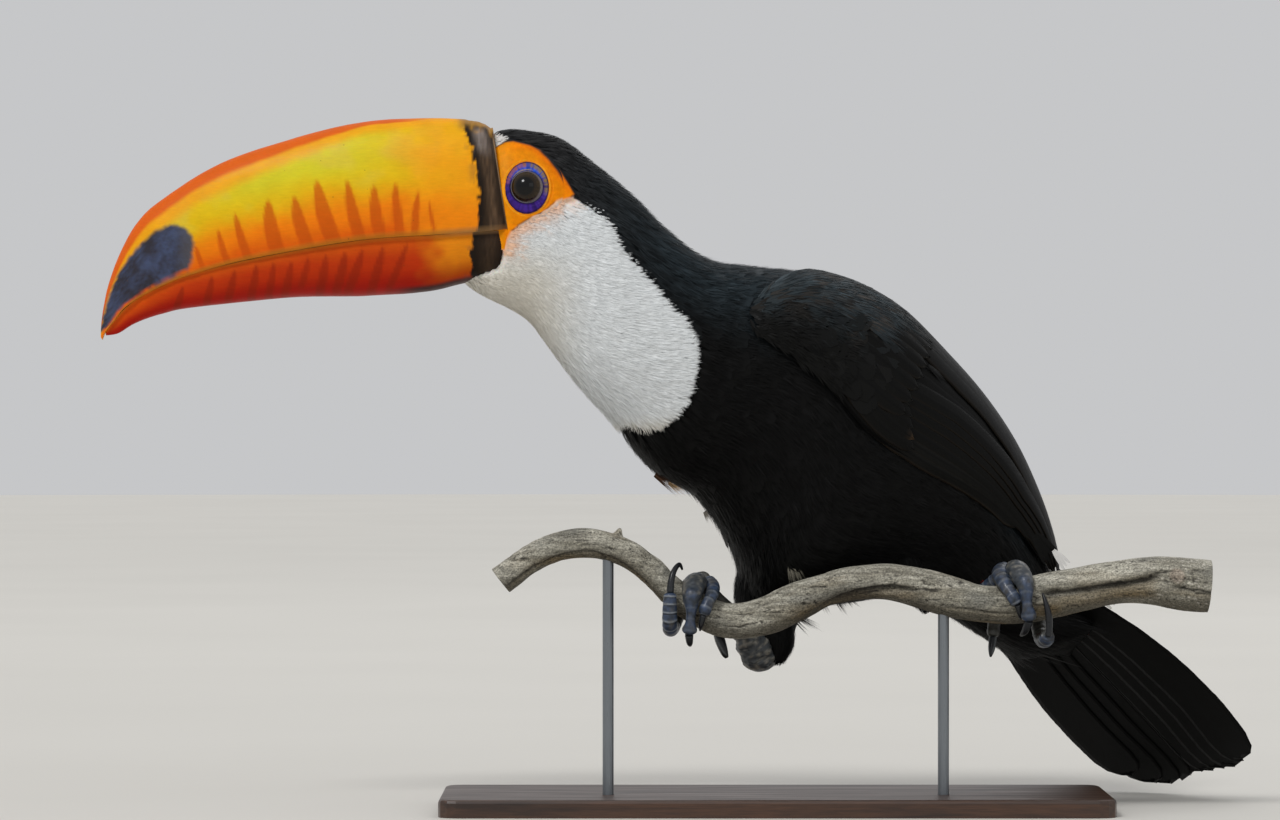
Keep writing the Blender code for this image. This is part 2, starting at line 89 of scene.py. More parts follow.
def newMaterial(name, settings):  # a Principled surface with its fixed values
    material = bpy.data.materials.new(name)
    material.use_nodes = True
    tree = material.node_tree
    tree.nodes.clear()
    shader = addNode(tree, "BsdfPrincipled", settings)
    addNode(tree, "OutputMaterial", {"Surface": shader})
    return material, tree, shader


# settings that several finishes share: where noise goes from dark to light, and how colours are joined
noiseSpan = {1: 0.3, 2: 0.7}
mixed = {"data_type": "RGBA"}
multiplied = {"data_type": "RGBA", "blend_type": "MULTIPLY", 0: 1.0}


def softStep(value, low, high):
    t = np.clip((np.asarray(value, float) - low) / (high - low), 0, 1)
    return t * t * (3 - 2 * t)


def blendColours(first, second, amount):  # each colour is an array or a hex code
    first, second = (np.array(toLinear(c)) if isinstance(c, str) else c for c in (first, second))
    return first + (second - first) * np.asarray(amount)[..., None]


def paint(tint, colours, *coats):  # lays named colours over one another, each by its own amount
    for name, amount in coats:
        tint = blendColours(tint, colours[name], amount)
    return tint


def triple(x, y, z):
    return np.stack(np.broadcast_arrays(x, y, z), -1)


def colourArray(code, like):
    return np.tile(np.array(toLinear(code)), (len(like), 1))


def smoothTable(rows, count):  # a smooth curve through the rows, read at evenly spaced places
    rows = np.array(rows, float)
    places = np.linspace(0, len(rows) - 1, count)
    i = np.clip(places.astype(int), 0, len(rows) - 2)
    t = (places - i)[:, None]
    a, b, c, d = (rows[np.clip(i + k, 0, len(rows) - 1)] for k in (-1, 0, 1, 2))
    curve = b + 0.5 * ((c - a) * t + (2 * a - 5 * b + 4 * c - d) * t * t + (3 * b - a - 3 * c + d) * t ** 3)
    return places, curve


def readTable(table, place):  # one array for each column
    return [np.interp(place, table[0], column) for column in table[1].T]


def softNoise(points, size, seed=0):  # smooth noise from -1 to 1, with lumps of the given size
    spot = np.asarray(points, float) / size
    cell = np.floor(spot).astype(np.int64)
    blend = spot - cell
    blend = blend * blend * (3 - 2 * blend)
    total = np.zeros(len(spot))
    for corner in range(8):
        step = np.array([(corner >> k) & 1 for k in range(3)])
        n = (cell + step) @ np.array([374761393, 668265263, 2246822519]) + seed * 3266489917
        n = ((n ^ (n >> 13)) * 1274126177) & 0xFFFFFFFF
        total += np.prod(np.where(step, blend, 1 - blend), axis=1) * ((n ^ (n >> 16)) & 0xFFFF) / 65535
    return total * 2 - 1


def insideBy(outline, u, z):  # distance inside a closed outline, negative outside it
    best = np.full(np.shape(u), 1e9)
    inside = np.zeros(np.shape(u), bool)
    for (x0, y0), (x1, y1) in zip(outline, outline[1:] + outline[:1]):
        dx, dy = x1 - x0, y1 - y0
        t = np.clip(((u - x0) * dx + (z - y0) * dy) / (dx * dx + dy * dy), 0, 1)
        best = np.minimum(best, np.hypot(u - x0 - t * dx, z - y0 - t * dy))
        inside ^= ((y0 > z) != (y1 > z)) & (u < dx * (z - y0) / (dy or 1e-9) + x0)
    return np.where(inside, best, -best)


def turnAt(across):  # a turn from -pi to pi round a closed shape
    return (across * 2 - 1) * math.pi


def unit(vectors):
    return vectors / np.maximum(np.linalg.norm(vectors, axis=-1, keepdims=True), 1e-12)


def gridPart(rows, columns, place, wrap=True, refine=(), weld=2e-5):
    # a bmesh grid whose flat places (0 to 1 both ways) are carried onto a surface, in millimetres
    bm = bmesh.new()
    bmesh.ops.create_grid(bm, x_segments=rows, y_segments=columns, size=0.5)
    for cuts, chosen in refine:
        centres = np.array([f.calc_center_median()[:2] for f in bm.faces]) + 0.5
        picked = chosen(centres[:, 0], centres[:, 1])
        edges = {e for f, pick in zip(bm.faces, picked) if pick for e in f.edges}
        bmesh.ops.subdivide_edges(bm, edges=list(edges), cuts=cuts, use_grid_fill=True)
    layers = [bm.verts.layers.float.new(n) for n in ("down", "across")]
    flat = np.array([v.co[:2] for v in bm.verts]) + 0.5
    points = place(flat[:, 0], flat[:, 1])
    for vert, point, (down, across) in zip(bm.verts, points, flat):
        vert.co = point
        vert[layers[0]], vert[layers[1]] = down, across
    if wrap:
        bmesh.ops.remove_doubles(bm, verts=bm.verts[:], dist=weld)
    bmesh.ops.triangulate(bm, faces=bm.faces[:])
    bmesh.ops.recalc_face_normals(bm, faces=bm.faces[:])
    return takePart(bm)


def takePart(bm):  # a finished bmesh as arrays, in millimetres
    bm.verts.index_update()
    part = {"co": np.array([v.co[:] for v in bm.verts]),
        "tri": np.array([[v.index for v in f.verts] for f in bm.faces])}
    for key in ("down", "across"):
        layer = bm.verts.layers.float.get(key)
        if layer:
            part[key] = np.array([v[layer] for v in bm.verts])
    bm.free()
    return part


def buildPiece(name, parts, materials, nodes=(), bakeMap=False):
    # joins the parts into one object at the origin, with their colours and maps
    counts = np.cumsum([0] + [len(p["co"]) for p in parts])
    co = np.concatenate([p["co"] for p in parts]) * mm
    tri = np.concatenate([p["tri"] + first for p, first in zip(parts, counts)])
    mesh = bpy.data.meshes.new(name)
    mesh.vertices.add(len(co))
    mesh.vertices.foreach_set("co", co.astype(np.float32).ravel())
    mesh.loops.add(tri.size)
    mesh.loops.foreach_set("vertex_index", tri.astype(np.int32).ravel())
    mesh.polygons.add(len(tri))
    mesh.polygons.foreach_set("loop_start", np.arange(0, tri.size, 3, dtype=np.int32))
    kinds = np.concatenate([np.full(len(p["tri"]), p.get("material", 0), np.int32) for p in parts])
    mesh.polygons.foreach_set("material_index", kinds)
    mesh.update(calc_edges=True)
    tint = np.concatenate([p.get("tint", np.full((len(p["co"]), 3), 0.5)) for p in parts])
    layer = mesh.attributes.new("tint", "FLOAT_COLOR", "POINT")
    layer.data.foreach_set("color", np.c_[tint, np.ones(len(tint))].astype(np.float32).ravel())
    vane = np.concatenate([p.get("vane", np.zeros((len(p["co"]), 3))) for p in parts])
    layer = mesh.attributes.new("vane", "FLOAT_VECTOR", "POINT")
    layer.data.foreach_set("vector", vane.astype(np.float32).ravel())
    if bakeMap:
        flat = np.concatenate([p["uv"] for p in parts])[tri.ravel()]
        mesh.uv_layers.new(name="OFBake").data.foreach_set("uv", flat.astype(np.float32).ravel())
    for material in materials:
        mesh.materials.append(material)
    mesh.shade_smooth()
    mesh.validate()
    if any("normal" in p for p in parts):  # feathers are shaded as the soft surface they lie on
        lie = np.concatenate([p.get("normal", np.zeros((len(p["co"]), 3))) for p in parts])
        mesh.normals_split_custom_set_from_vertices(lie)
    piece = bpy.data.objects.new(name, mesh)
    scene.collection.objects.link(piece)
    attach(piece, "root")
    if nodes:
        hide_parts(*nodes)
    print(name, len(tri), "triangles")
    return piece


# Camera, floor and light

viewValues = {"cameraPlace": (-0.06075, -2.4, 0.180), "lens": 150.0, "floorColour": "#DAD7D0",
              "floorTone": "#D3D0C9",              "skyColour": "#E8E9EB", "skyStrength": 0.7}
lightValues = {  # kind, place, size (an angle in degrees for the sun) and strength
    "key": ("SUN", (-1.3, -1.9, 2.6), 16.0, 1.35),
    "fill": ("AREA", (2.0, -2.6, 1.2), 1.6, 4.0),
    "rim": ("AREA", (0.9, 2.2, 2.2), 1.2, 6.0),
}

cameraData = bpy.data.cameras.new("camera")
cameraData.lens = viewValues["lens"]
cameraData.sensor_width = 36.0
camera = bpy.data.objects.new("camera", cameraData)
camera.location = viewValues["cameraPlace"]
camera.rotation_euler = (math.radians(90), 0, 0)
scene.collection.objects.link(camera)
scene.camera = camera

aim = (cadBox[0] + cadBox[1]) / 2
for name, (kind, place, size, strength) in lightValues.items():
    data = bpy.data.lights.new(name, kind)
    data.energy = strength
    if kind == "SUN":
        data.angle = math.radians(size)
    else:
        data.size = size
    lamp = bpy.data.objects.new(name, data)
    lamp.location = place
    lamp.rotation_euler = (aim - Vector(place)).to_track_quat("-Z", "Y").to_euler()
    scene.collection.objects.link(lamp)

world = bpy.data.worlds.new("softStudio")
world.use_nodes = True
sky = world.node_tree.nodes["Background"]
sky.inputs["Color"].default_value = (*toLinear(viewValues["skyColour"]), 1)
sky.inputs["Strength"].default_value = viewValues["skyStrength"]
scene.world = world
scene.view_settings.view_transform = "Standard"

# matt painted floor: a slow change of tone
floorMaterial, tree, shader = newMaterial("mattFloorPaint", {"Roughness": 0.85})
place = addNode(tree, "TexCoord", {}).outputs["Object"]
tone = addNode(tree, "TexNoise", {"Vector": place, "Scale": 3.0, "Detail": 2.0})
colour = addNode(tree, "Mix", {**mixed, 0: tone, 6: viewValues["floorColour"], 7: viewValues["floorTone"]})
setNode(tree, shader, {"Base Color": colour.outputs[2]})
bm = bmesh.new()
bmesh.ops.create_circle(bm, cap_ends=True, segments=96, radius=9.0)
floorMesh = bpy.data.meshes.new("floor")
bm.to_mesh(floorMesh)
bm.free()
floorMesh.materials.append(floorMaterial)
floor = bpy.data.objects.new("floor", floorMesh)
scene.collection.objects.link(floor)
print("stage set")

# The body's own surface: stations along the bird, and an angle round it from the spine

bodyValues = {
    "headY": -8.0, "swingSlope": 0.36, "swingStart": -75.0, "swingSoftness": 15.0,
    # top u and z, bottom u and z, half width, and how far the widest place sits above the middle
    "stations": [
        (-128.8, 298.0, -140.5, 237.2, 15.0, -0.05), (-127.4, 304.0, -131.5, 231.2, 19.0, -0.08),
        (-121.0, 305.8, -122.5, 227.0, 23.6, -0.10), (-110.1, 305.2, -115.0, 223.0, 25.0, -0.10),
        (-95.8, 301.6, -109.5, 218.6, 25.5, -0.08), (-80.1, 290.0, -104.6, 212.0, 25.5, -0.05),
        (-65.2, 277.6, -97.4, 202.0, 26.5, -0.03), (-49.5, 262.0, -88.0, 189.5, 29.0, 0.00),
        (-31.4, 248.8, -74.0, 174.3, 33.0, 0.05), (-8.7, 245.2, -54.5, 152.0, 38.0, 0.08),
        (11.9, 242.6, -33.5, 139.0, 42.0, 0.10), (33.0, 235.5, -17.0, 114.0, 45.0, 0.12),
        (52.0, 224.0, -9.0, 91.3, 46.0, 0.12), (70.5, 206.0, 11.0, 88.5, 43.5, 0.10),
        (88.0, 186.5, 31.5, 90.0, 38.0, 0.08), (102.5, 166.5, 51.5, 92.3, 32.0, 0.05),
        (113.0, 146.0, 67.0, 91.2, 27.0, 0.00), (121.0, 126.0, 79.8, 86.0, 22.5, 0.00),
        (127.0, 108.0, 90.8, 79.6, 19.0, 0.00)],
    "tailStart": 18.0, "tailStep": 16.0, "tailLength": 129.0, "tailAxis": (0.711, 0.238, -0.665),
    "tailRoll": 25.0, "tailRootHalfWidth": 26, "tailHalfWidth": 46.0, "tailSlant": 0.12,
}
bodyTable = smoothTable(bodyValues["stations"], 721)


def bend(u, v, z):  # straight body to its place: the head is square, the rest swings away
    reach = (u - bodyValues["swingStart"]) / bodyValues["swingSoftness"]
    slope = bodyValues["swingSlope"]
    line = bodyValues["headY"] + slope * bodyValues["swingSoftness"] * np.logaddexp(0, reach)
    turn = np.arctan(slope / (1 + np.exp(-reach)))
    return triple(u - v * np.sin(turn), line + v * np.cos(turn), z)


def straightBody(s, a):  # u along the bird, v to its right, z up
    topU, topZ, lowU, lowZ, halfWidth, fullness = readTable(bodyTable, s)
    up, side = np.cos(a), np.sin(a)
    u = (topU + lowU) / 2 + up * (topU - lowU) / 2
    z = (topZ + lowZ) / 2 + up * (topZ - lowZ) / 2
    return u, halfWidth * np.sign(side) * np.abs(side) ** 0.92 * (1 + fullness * up), z


def sideView(s, a):  # the same, where the tail's stations read as the body's last one
    return straightBody(np.minimum(s, bodyValues["tailStart"]), a)


tailAxis = unit(np.array(bodyValues["tailAxis"]))
tailLevel = unit(np.array([-tailAxis[1], tailAxis[0], 0]))
tailUpright = np.cross(tailAxis, tailLevel)
tailRoll = math.radians(bodyValues["tailRoll"])
tailAcross = tailLevel * math.cos(tailRoll) - tailUpright * math.sin(tailRoll)
tailUp = tailUpright * math.cos(tailRoll) + tailLevel * math.sin(tailRoll)
tailRoot = sum(bend(*straightBody(bodyValues["tailStart"], a)) for a in (0.0, math.pi)) / 2


def fanWidth(t):  # half the width of the spread tail, at a share of its length
    root = bodyValues["tailRootHalfWidth"]
    return root + (bodyValues["tailHalfWidth"] - root) * np.sin(np.minimum(t / 0.75, 1) * math.pi / 2)


def fanPoint(t, q, height):  # the tail's fan: t down its length, q across it, height in millimetres
    t, q, height = np.broadcast_arrays(t, q, height)
    width = fanWidth(t)
    down = t * bodyValues["tailLength"] - bodyValues["tailSlant"] * t * width * q
    return tailRoot + down[:, None] * tailAxis + (width * q)[:, None] * tailAcross + height[:, None] * tailUp


def bodyPoint(s, a):  # the outer surface of the coat, from the bill's base to the tail's root
    s, a = np.broadcast_arrays(np.asarray(s, float), np.asarray(a, float))
    trunk = bend(*sideView(s, a))
    t = np.maximum(s - bodyValues["tailStart"], 0) * bodyValues["tailStep"] / bodyValues["tailLength"]
    thickness = 1 + 17 * np.clip(1 - t / 0.6, 0, 1) ** 1.6 + 1.2 * (1 - t)
    width = fanWidth(t) * (1 - 0.6 * np.clip((t - 0.8) / 0.2, 0, 1) ** 3)
    offset = (width * np.sin(a))[:, None] * tailAcross + (thickness * np.cos(a))[:, None] * tailUp
    offset -= (bodyValues["tailSlant"] * t * width * np.sin(a))[:, None] * tailAxis
    travel = (t * bodyValues["tailLength"])[:, None] * tailAxis
    flat = (np.minimum(t / 0.35, 1) ** 0.8)[:, None]
    return (trunk + travel) * (1 - flat) + (tailRoot + travel + offset) * flat


def surfaceFrame(surface, s, a, step=0.02):  # outward direction, and millimetres for each unit of s and a
    alongS = (surface(s + step, a) - surface(s - step, a)) / (2 * step)
    alongA = (surface(s, a + step) - surface(s, a - step)) / (2 * step)
    return unit(np.cross(alongS, alongA)), np.linalg.norm(alongS, axis=-1), np.linalg.norm(alongA, axis=-1)


# Markings: closed outlines in the straight body's side view, as (u, z)

markings = {
    "bib": [(-92, 276.1), (-91.2, 274.7), (-81.5, 269), (-77.6, 265), (-75.8, 259.2), (-74, 254.3),
            (-68.4, 246.7), (-61, 236.5), (-54.9, 226.7), (-50, 221.8), (-46.8, 213.3), (-45.4, 204.4),
            (-46.5, 197.8), (-49, 182.2), (-52.9, 176.4), (-59.3, 170.2), (-64.1, 168.8), (-72, 171.9),
            (-76, 166), (-160, 166), (-160, 262), (-124, 262), (-119.8, 259.5), (-118.1, 259.9),
            (-114.6, 262.6), (-110.4, 265.2), (-106.1, 267.5), (-102, 269.7), (-97.8, 273.3)],
    "bareSkin": [(-126.5, 296.6), (-121.2, 299.6), (-117.7, 300.1), (-110.2, 298.2), (-105.9, 295.9),
                 (-101.7, 291.8), (-97.6, 286.6), (-94.7, 281.7), (-91.8, 276.1), (-93.6, 274.5),
                 (-97.8, 272.9), (-102, 269.3), (-106.1, 267.1), (-110.4, 264.8), (-114.6, 262.2),
                 (-118.1, 259.7), (-120.0, 256.0), (-121.6, 250.5), (-129.0, 250.5), (-134, 280),
                 (-134, 296)],
    "foreheadPatch": [(-134, 305.4), (-127.4, 305.1), (-124.4, 303.6), (-120.0, 301.4), (-122.6, 299.6),
                      (-125.8, 297.2), (-134, 296)],
}
plumageColours = {"black": "#080808", "paintedTopSheen": "#283136", "crown": "#2A2A2B", "white": "#EDF0F1",
                  "buffAndWarmShade": "#E6D6B4", "blush": "#F3A75E", "red": "#6E120C", "rump": "#EFEDE8",
                  "forehead": "#E9E6E2"}
skinColours = {"orange": "#F58800", "amber": "#F29A06", "deepOrange": "#E45E04", "ringTop": "#1F52CC",
               "ringSide": "#3A2A86", "ringLow": "#3C1F74", "ringRim": "#1B1030", "ringStreak": "#8F7430",
               "ringRose": "#9C5640", "lid": "#6E6A72", "halo": "#FFB02A"}
eyeValues = {"ringHalfWidth": 9.9, "ringHalfHeight": 11.8, "opening": 6.85, "patchOuter": 15.0}
eyeBox = {side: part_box("eye_" + side) for side in ("left", "right")}
eyeCentre = {side: np.array((low + high) / 2) / mm for side, (low, high) in eyeBox.items()}
for side, inward in (("left", 1.0), ("right", -1.0)):  # the eyes sit a little deeper than their nodes
    eyeCentre[side][1] += inward
eyeRadius = (eyeBox["left"][1] - eyeBox["left"][0]).z / 2 / mm


def ringReach(x, z):  # 1 at the outer edge of the ring of skin round the eye
    centre = eyeCentre["left"]
    return np.hypot((x - centre[0]) / eyeValues["ringHalfWidth"],
        (z - centre[2] + 0.2) / eyeValues["ringHalfHeight"])


def billEdge(z):  # where the bill's rear edge stands, at a height on the face
    return np.interp(z, [238.6, 241.0, 259.8, 306.5], [-142, -122.8, -119.3, -126.6])


def around(a):  # the angle from the spine, on either side
    return np.abs((np.asarray(a) + math.pi) % math.tau - math.pi)


def ventShare(s, a):  # 1 where the red feathers under the tail grow
    u, v, z = sideView(s, a)
    top = np.interp(u, [78, 84, 88, 94, 99, 108, 114, 122], [92, 102, 106, 106.5, 103, 105, 113, 117])
    return (softStep(top - z, -0.6, 0.6) * softStep(z, 95.5, 96.5) * softStep(s, 15.0, 15.3)
        * softStep(s, 17.4, 17.1) * softStep(np.cos(a), 0.1, -0.1))


def plumageTint(s, a, jitter=0.0):  # colour of the coat, and of the skin under it
    u, v, z = sideView(s, a)
    rough = jitter if np.ndim(jitter) else softNoise(triple(u, v, z), 2.5, 3)
    tint = colourArray(plumageColours["black"], u)
    # painted light: the upper side of the body is lighter and blue-grey, a painted sheen from light falling
    # from above; the crown colour is this painted sheen on the head
    upper = softStep(np.cos(a), 0.1, 0.8) * softStep(s, 17.2, 15.5)
    paintedTopSheen = blendColours(plumageColours["crown"], plumageColours["paintedTopSheen"], softStep(u, -105, -50))
    tint = blendColours(tint, paintedTopSheen, 0.85 * upper)
    bib = softStep(insideBy(markings["bib"], u, z) + rough, -0.5, 0.5)
    white = colourArray(plumageColours["white"], u)
    # painted shade: the front of the lower throat turns a warm cream; the buff at the lowest edge of the bib
    # is its own colour
    front = softStep(z, 262, 236) * softStep(u, -88, -118)
    buffAndWarmShade = np.clip(0.42 * front + 0.35 * softStep(z, 182, 170), 0, 1)
    white = blendColours(white, plumageColours["buffAndWarmShade"], buffAndWarmShade)
    nearSkin = softStep(insideBy(markings["bareSkin"], u, z)
        + 1.6 * softNoise(triple(u, v, z), 1.5, 6), -6, 1)
    white = blendColours(white, plumageColours["blush"], 0.7 * nearSkin)
    tint = blendColours(tint, white, bib)
    patch = softStep(insideBy(markings["foreheadPatch"], u, z) + rough * 0.3, -0.4, 0.4)
    tint = blendColours(tint, plumageColours["forehead"], patch)
    rump = softStep(s + rough * 0.05, 16.1, 16.4) * softStep(around(a), 0.70, 0.56) * softStep(s, 19.2, 18.6)
    tint = blendColours(tint, plumageColours["rump"], rump)
    # the red under the tail is its own colour darkened with painted shade
    return blendColours(tint, plumageColours["red"], ventShare(s, a))


def skinTint(s, a):  # the bare face over the plumage colours
    u, v, z = sideView(s, a)
    tint = plumageTint(s, a)
    bare = softStep(insideBy(markings["bareSkin"], u, z), -0.6, 0.9)
    return blendColours(tint, bareTint(u, z), bare)


def bareTint(x, z):
    points = triple(x, 0, z)
    tint = colourArray(skinColours["orange"], x)
    amber = np.clip(softStep(x, -115, -126) * 0.8 + 0.25 * softNoise(points, 6, 5), 0, 1)
    tint = blendColours(tint, skinColours["amber"], amber)
    deep = softStep(insideBy(markings["bareSkin"], x, z), 5.0, 0.5) * softStep(x + (z - 270), -90, -80)
    return blendColours(tint, skinColours["deepOrange"], 0.55 * deep)


def ringTint(x, z, tint):  # blue and violet ring, its dark rims and its olive streaks
    centre = eyeCentre["left"]
    reach = ringReach(x, z)
    turn = np.arctan2(z - centre[2], x - centre[0])
    top = softStep(np.sin(turn), 0.1, 0.85)
    ring = paint(skinColours["ringSide"], skinColours,
        ("ringTop", top),
        ("ringLow", softStep(np.sin(turn), -0.2, -0.9) * 0.8))
    spokes = softNoise(triple(turn * 14, reach * 1.4, 0), 1.0, 9)
    ring = ring * (1 + 0.42 * spokes)[:, None]
    outer = softStep(reach, 0.72, 0.86) * softStep(np.sin(turn + 0.25), -0.35, 0.3)
    streak = blendColours(skinColours["ringRose"], skinColours["ringStreak"],
        softStep(np.cos(turn), -0.3, 0.3))
    ring = blendColours(ring, streak, np.clip(outer * (0.72 + 0.6 * spokes), 0, 0.92))
    inner = np.hypot(x - centre[0], z - centre[2])
    ring = paint(ring, skinColours,
        ("ringRim", softStep(reach, 0.925, 0.965) * 0.9),
        ("ringRim", softStep(inner, 7.9, 7.3) * 0.9),
        ("lid", softStep(inner, 7.25, 7.0)))
    halo = softStep(reach, 1.0, 1.03) * softStep(reach, 1.11, 1.04)
    tint = blendColours(tint, skinColours["halo"], halo * 0.8)
    return blendColours(tint, ring, softStep(reach, 1.015, 0.985))


# Skin: one surface under the whole coat, bare round the eyes, with the legs and toes joined on

skinValues = {"rows": 140, "columns": 116, "end": 20.6, "sink": [(0, 0.9), (3, 0.9), (5.5, 1.8), (8, 3.0),
              (18, 3.2), (21, 1.5)], "ringCrest": 0.9, "eyeFolds": 0.12, "socket": 2.6}


def coatDepth(s, a):
    u, v, z = sideView(s, a)
    sink = np.interp(s, *zip(*skinValues["sink"]))
    bare = softStep(insideBy(markings["bareSkin"], u, z), -2.0, 0.5)
    inBill = softStep(billEdge(z) - u, 0.3, 1.8) * softStep(s, 4.0, 2.5)
    return sink * (1 - bare) + 0.1 * bare + 4.0 * inBill


def onSurface(s, a, height):  # a point of the body's surface, raised along its outward direction
    normal = surfaceFrame(bodyPoint, s, a)[0]
    return bodyPoint(s, a) + normal * np.asarray(height)[:, None]


def skinStation(down):  # the head takes a larger share of the rows
    return np.interp(down, [0, 0.4, 1], [0, 5.0, skinValues["end"]])


def skinPlace(down, across):
    s, a = skinStation(down), turnAt(across)
    u, v, z = sideView(s, a)
    depth = coatDepth(s, a) + skinValues["socket"] * softStep(ringReach(u, z), 1.0, 0.8)
    pebbles = softNoise(triple(u, v, z), 0.8, 21) * 0.035
    points = onSurface(s, a, pebbles - depth)
    axis = (onSurface(s, s * 0, s * 0) + onSurface(s, s * 0 + math.pi, s * 0)) * 0.5
    closing = np.maximum(softStep(down, 0.02, 0), softStep(down, 0.97, 1.0))[:, None]
    return points * (1 - closing) + axis * closing


def nearFace(reach):  # picks the part of the skin within this reach of the bare skin
    def chosen(down, across):
        u, v, z = sideView(skinStation(down), turnAt(across))
        return (down < 0.42) & (insideBy(markings["bareSkin"], u, z) > -reach) & (np.abs(v) > 12 - reach)
    return chosen


skinGrid = gridPart(skinValues["rows"], skinValues["columns"], skinPlace,
    refine=((1, nearFace(9)), (1, nearFace(4))))
skinGrid["tint"] = skinTint(skinStation(skinGrid["down"]), turnAt(skinGrid["across"]))


def headPlace(x, z, side):  # the station and angle of the head's surface at a place in side view
    s = np.full(x.shape, 3.0)
    a = np.full(x.shape, side * 1.35)
    for _ in range(12):
        u, v, height = straightBody(s, a)
        uS, _, zS = straightBody(s + 0.01, a)
        uA, _, zA = straightBody(s, a + 0.01)
        slope = np.array([[uS - u, uA - u], [zS - height, zA - height]]) / 0.01
        miss = np.array([x - u, z - height])
        det = slope[0, 0] * slope[1, 1] - slope[0, 1] * slope[1, 0]
        s = s + np.clip((miss[0] * slope[1, 1] - miss[1] * slope[0, 1]) / det, -0.8, 0.8)
        a = a + np.clip((miss[1] * slope[0, 0] - miss[0] * slope[1, 0]) / det, -0.3, 0.3)
        s = np.clip(s, 0.02, 7)
    return s, a


def orbitPatch(side):  # the ring of skin round one eye: fine folds, and a rim that meets the eyeball
    sign = 1 if side == "right" else -1
    centre = eyeCentre[side]
    opening, halfWidth, tuckShare = eyeValues["opening"], eyeValues["ringHalfWidth"], 0.08

    def place(down, across):
        turn = across * math.tau
        share = np.maximum(down - tuckShare, 0) / (1 - tuckShare)
        reach = opening + (eyeValues["patchOuter"] - opening) * share
        rise = np.interp(reach, [opening, halfWidth], [1, eyeValues["ringHalfHeight"] / halfWidth])
        x = centre[0] + reach * np.cos(turn)
        z = centre[2] + reach * np.sin(turn) * rise
        s, a = headPlace(x, z, sign)
        around = ringReach(x, z)
        crest = (skinValues["ringCrest"] * softStep(around, 1.06, 0.86)
            * (0.55 + 0.45 * softStep(reach, 6.9, 8.3)))
        groove = -0.28 * np.exp(-((around - 1.03) / 0.03) ** 2)
        folds = skinValues["eyeFolds"] * softNoise(triple(turn * 15, reach * 0.5, 0), 1.0, 4)
        folds = folds * softStep(around, 1.25, 0.95)
        rings = 0.05 * np.sin(reach * 5.5) * softStep(around, 1.0, 0.9)
        skinHeight = 0.08 - coatDepth(s, a)
        point = onSurface(s, a, crest + groove + folds + rings + skinHeight)
        lid = softStep(reach, 7.9, opening)[:, None]
        front = sign * np.sqrt(np.clip(eyeRadius ** 2 - reach ** 2, 1, None))
        eyeball = centre + unit(triple(x - centre[0], front, z - centre[2])) * (eyeRadius + 0.25)
        point = point * (1 - lid) + eyeball * lid
        tuck = (np.clip(tuckShare - down, 0, 1) / tuckShare)[:, None]  # the rim turns in behind the lid
        return point - (point - centre) * tuck * 0.13

    patch = gridPart(40, 144, place)
    x, z = patch["co"][:, 0], patch["co"][:, 2]
    s, a = headPlace(x, z, sign)
    patch["tint"] = ringTint(x, z, skinTint(s, a))
    return turnOutward(patch, np.array([0, sign, 0.0]))


def turnOutward(part, outward):  # an open patch faces the way it is told
    a, b, c = (part["co"][part["tri"][:, i]] for i in range(3))
    if (np.cross(b - a, c - a) @ outward).sum() < 0:
        part["tri"] = part["tri"][:, ::-1]
    return part


# Legs and feet: tubes along smooth lines of (x, y, z, radius)

